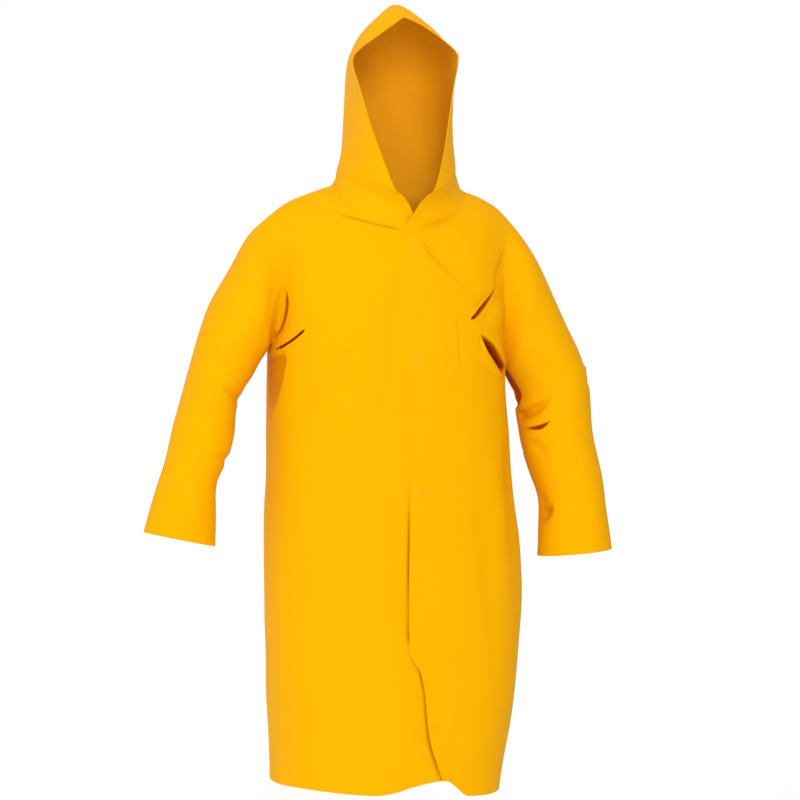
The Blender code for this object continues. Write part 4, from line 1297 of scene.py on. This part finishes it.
def matt_board(paint):
    """Matt painted board: pale and without gloss."""
    material, tree, shader = new_material("matt_board")
    set_node(tree, shader, {"Base Color": (*paint, 1.0), "Roughness": 0.9,
                            "Specular IOR Level": 0.1})
    return material


def grey_felt():
    """Grey felt: no gloss at all."""
    material, tree, shader = new_material("grey_felt")
    set_node(tree, shader, {"Base Color": (*linear("#B8B8B8"), 1.0), "Roughness": 1.0})
    return material


def finish_named(name, make, finish):
    """A material by its name, made first if the file has none yet."""
    return bpy.data.materials.get(name) or make(name, finish)


def cloth_materials(finish):
    """Coated face first, knitted back second."""
    return (finish_named("vinyl_coated_cloth", coated_cloth, finish),
            finish_named("knitted_backing", knitted_backing, finish))


# ---- stage
def make_floor(stage):
    """A wide, flat floor below the coat."""
    mesh = bmesh.new()
    bmesh.ops.create_circle(mesh, cap_ends=True, segments=FLOOR_SIDES, radius=FLOOR_RADIUS)
    data = bpy.data.meshes.new("floor")
    mesh.to_mesh(data)
    mesh.free()
    data.materials.append(matt_board(stage.floor))
    floor = bpy.data.objects.new("floor", data)
    floor.location.z = CAD_BOX[0][2] - stage.drop
    bpy.context.scene.collection.objects.link(floor)


def add_light(scene, kind, name, energy, toward):
    """A light that shines in one direction."""
    lamp = bpy.data.lights.new(name, kind)
    lamp.energy = energy
    light = bpy.data.objects.new(name, lamp)
    light.rotation_euler = Vector(toward).to_track_quat("-Z", "Y").to_euler()
    scene.collection.objects.link(light)
    return light


def make_lights(scene, stage):
    """Even white light all round, a large soft key from the upper left, and a narrow
    light that reaches into the hood from low in front."""
    world = bpy.data.worlds.new("studio")
    world.use_nodes = True
    sky = world.node_tree.nodes["Background"]
    sky.inputs["Color"].default_value = (1.0, 1.0, 1.0, 1.0)
    sky.inputs["Strength"].default_value = stage.fill
    scene.world = world
    key = add_light(scene, "SUN", "key", stage.key, KEY_AIM)
    key.data.angle = math.radians(KEY_ANGLE)
    spot = add_light(scene, "SPOT", "hood_light", stage.hood_light,
                     Vector(HOOD_LIGHT_AT) - Vector(HOOD_LIGHT_FROM))
    spot.location = HOOD_LIGHT_FROM
    spot.data.spot_size = math.radians(HOOD_LIGHT_CONE)
    spot.data.spot_blend = 1.0
    spot.data.shadow_soft_size = HOOD_LIGHT_SIZE


def make_flag():
    """A grey studio flag beside the coat, which keeps light off its far flank; it is
    left out of the picture itself."""
    corners = [(FLAG_X, y, z) for y, z in ((FLAG_NEAR_Y, FLAG_LOW_Z), (FLAG_FAR_Y, FLAG_LOW_Z),
                                           (FLAG_FAR_Y, FLAG_HIGH_Z), (FLAG_NEAR_Y, FLAG_HIGH_Z))]
    data = bpy.data.meshes.new("flag_left")
    data.from_pydata(corners, [], [(0, 1, 2, 3)])
    data.materials.append(grey_felt())
    flag = bpy.data.objects.new("flag_left", data)
    flag.visible_camera = False
    bpy.context.scene.collection.objects.link(flag)


def make_camera(scene, stage):
    """The camera, level with the middle of the coat."""
    data = bpy.data.cameras.new("camera")
    data.sensor_width = CAMERA_SENSOR
    data.lens = data.sensor_width * stage.distance / stage.view_width
    camera = bpy.data.objects.new("camera", data)
    ahead = Vector((-math.sin(stage.azimuth), math.cos(stage.azimuth), 0.0))
    right = Vector((math.cos(stage.azimuth), math.sin(stage.azimuth), 0.0))
    target = CAMERA_ASIDE * right
    target.z = CAMERA_Z
    facing = Matrix((right, Vector((0.0, 0.0, 1.0)), -ahead)).transposed()
    camera.matrix_world = Matrix.Translation(target - stage.distance * ahead) @ facing.to_4x4()
    scene.collection.objects.link(camera)
    scene.camera = camera


# ---- operators
class COAT_OT_panels(bpy.types.Operator):
    """Make the two fronts and the back"""
    bl_idname = "coat.panels"
    bl_label = "Fronts and back"

    def execute(self, context):
        for name in ("front_left", "front_right", "back"):
            make_cloth(name)
        return {"FINISHED"}


class COAT_OT_sleeves(bpy.types.Operator):
    """Make both sleeves"""
    bl_idname = "coat.sleeves"
    bl_label = "Sleeves"

    def execute(self, context):
        for name in ("sleeve_left", "sleeve_right"):
            make_cloth(name)
        return {"FINISHED"}


class COAT_OT_hood(bpy.types.Operator):
    """Make both halves of the hood"""
    bl_idname = "coat.hood"
    bl_label = "Hood"

    def execute(self, context):
        for name in ("hood_left", "hood_right"):
            make_cloth(name)
        return {"FINISHED"}


class COAT_OT_studs(bpy.types.Operator):
    """Make the press-stud caps"""
    bl_idname = "coat.studs"
    bl_label = "Press studs"

    def execute(self, context):
        skin, _, _ = skin_of("front_left")
        scene = context.scene
        material = finish_named("moulded_acetal_cap", moulded_cap, scene.coat_finish)
        for node in stud_nodes():
            make_stud(node, skin, scene.coat_sizes.stud / 2.0, material)
        return {"FINISHED"}


class COAT_OT_stage(bpy.types.Operator):
    """Make the floor, the light and the camera"""
    bl_idname = "coat.stage"
    bl_label = "Stage"

    def execute(self, context):
        scene = context.scene
        stage = scene.coat_stage
        make_floor(stage)
        make_lights(scene, stage)
        make_flag()
        make_camera(scene, stage)
        scene.view_settings.view_transform = "Standard"
        return {"FINISHED"}


class COAT_PT_panel(bpy.types.Panel):
    """Sizes, colours and pieces of the raincoat"""
    bl_label = "Raincoat"
    bl_idname = "COAT_PT_panel"
    bl_space_type = "VIEW_3D"
    bl_region_type = "UI"
    bl_category = "Raincoat"

    def draw(self, context):
        layout = self.layout
        for group in (context.scene.coat_sizes, context.scene.coat_finish,
                      context.scene.coat_stage):
            box = layout.box()
            for name in group.__annotations__:
                box.prop(group, name)
        for operator in OPERATORS:
            layout.operator(operator.bl_idname)


GROUPS = {"coat_sizes": CoatSizes, "coat_finish": CoatFinish, "coat_stage": StageSettings}
OPERATORS = (COAT_OT_panels, COAT_OT_sleeves, COAT_OT_hood, COAT_OT_studs, COAT_OT_stage)


def register():
    for item in (*GROUPS.values(), *OPERATORS, COAT_PT_panel):
        bpy.utils.register_class(item)
    for name, group in GROUPS.items():
        setattr(bpy.types.Scene, name, PointerProperty(type=group))


def unregister():
    for name in GROUPS:
        delattr(bpy.types.Scene, name)
    for item in (COAT_PT_panel, *reversed(OPERATORS), *reversed(list(GROUPS.values()))):
        bpy.utils.unregister_class(item)


def main():
    """Register and make every piece in order."""
    register()
    bpy.ops.coat.panels()
    bpy.ops.coat.sleeves()
    bpy.ops.coat.hood()
    bpy.ops.coat.studs()
    bpy.ops.coat.stage()
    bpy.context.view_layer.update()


if __name__ == "__main__":
    main()
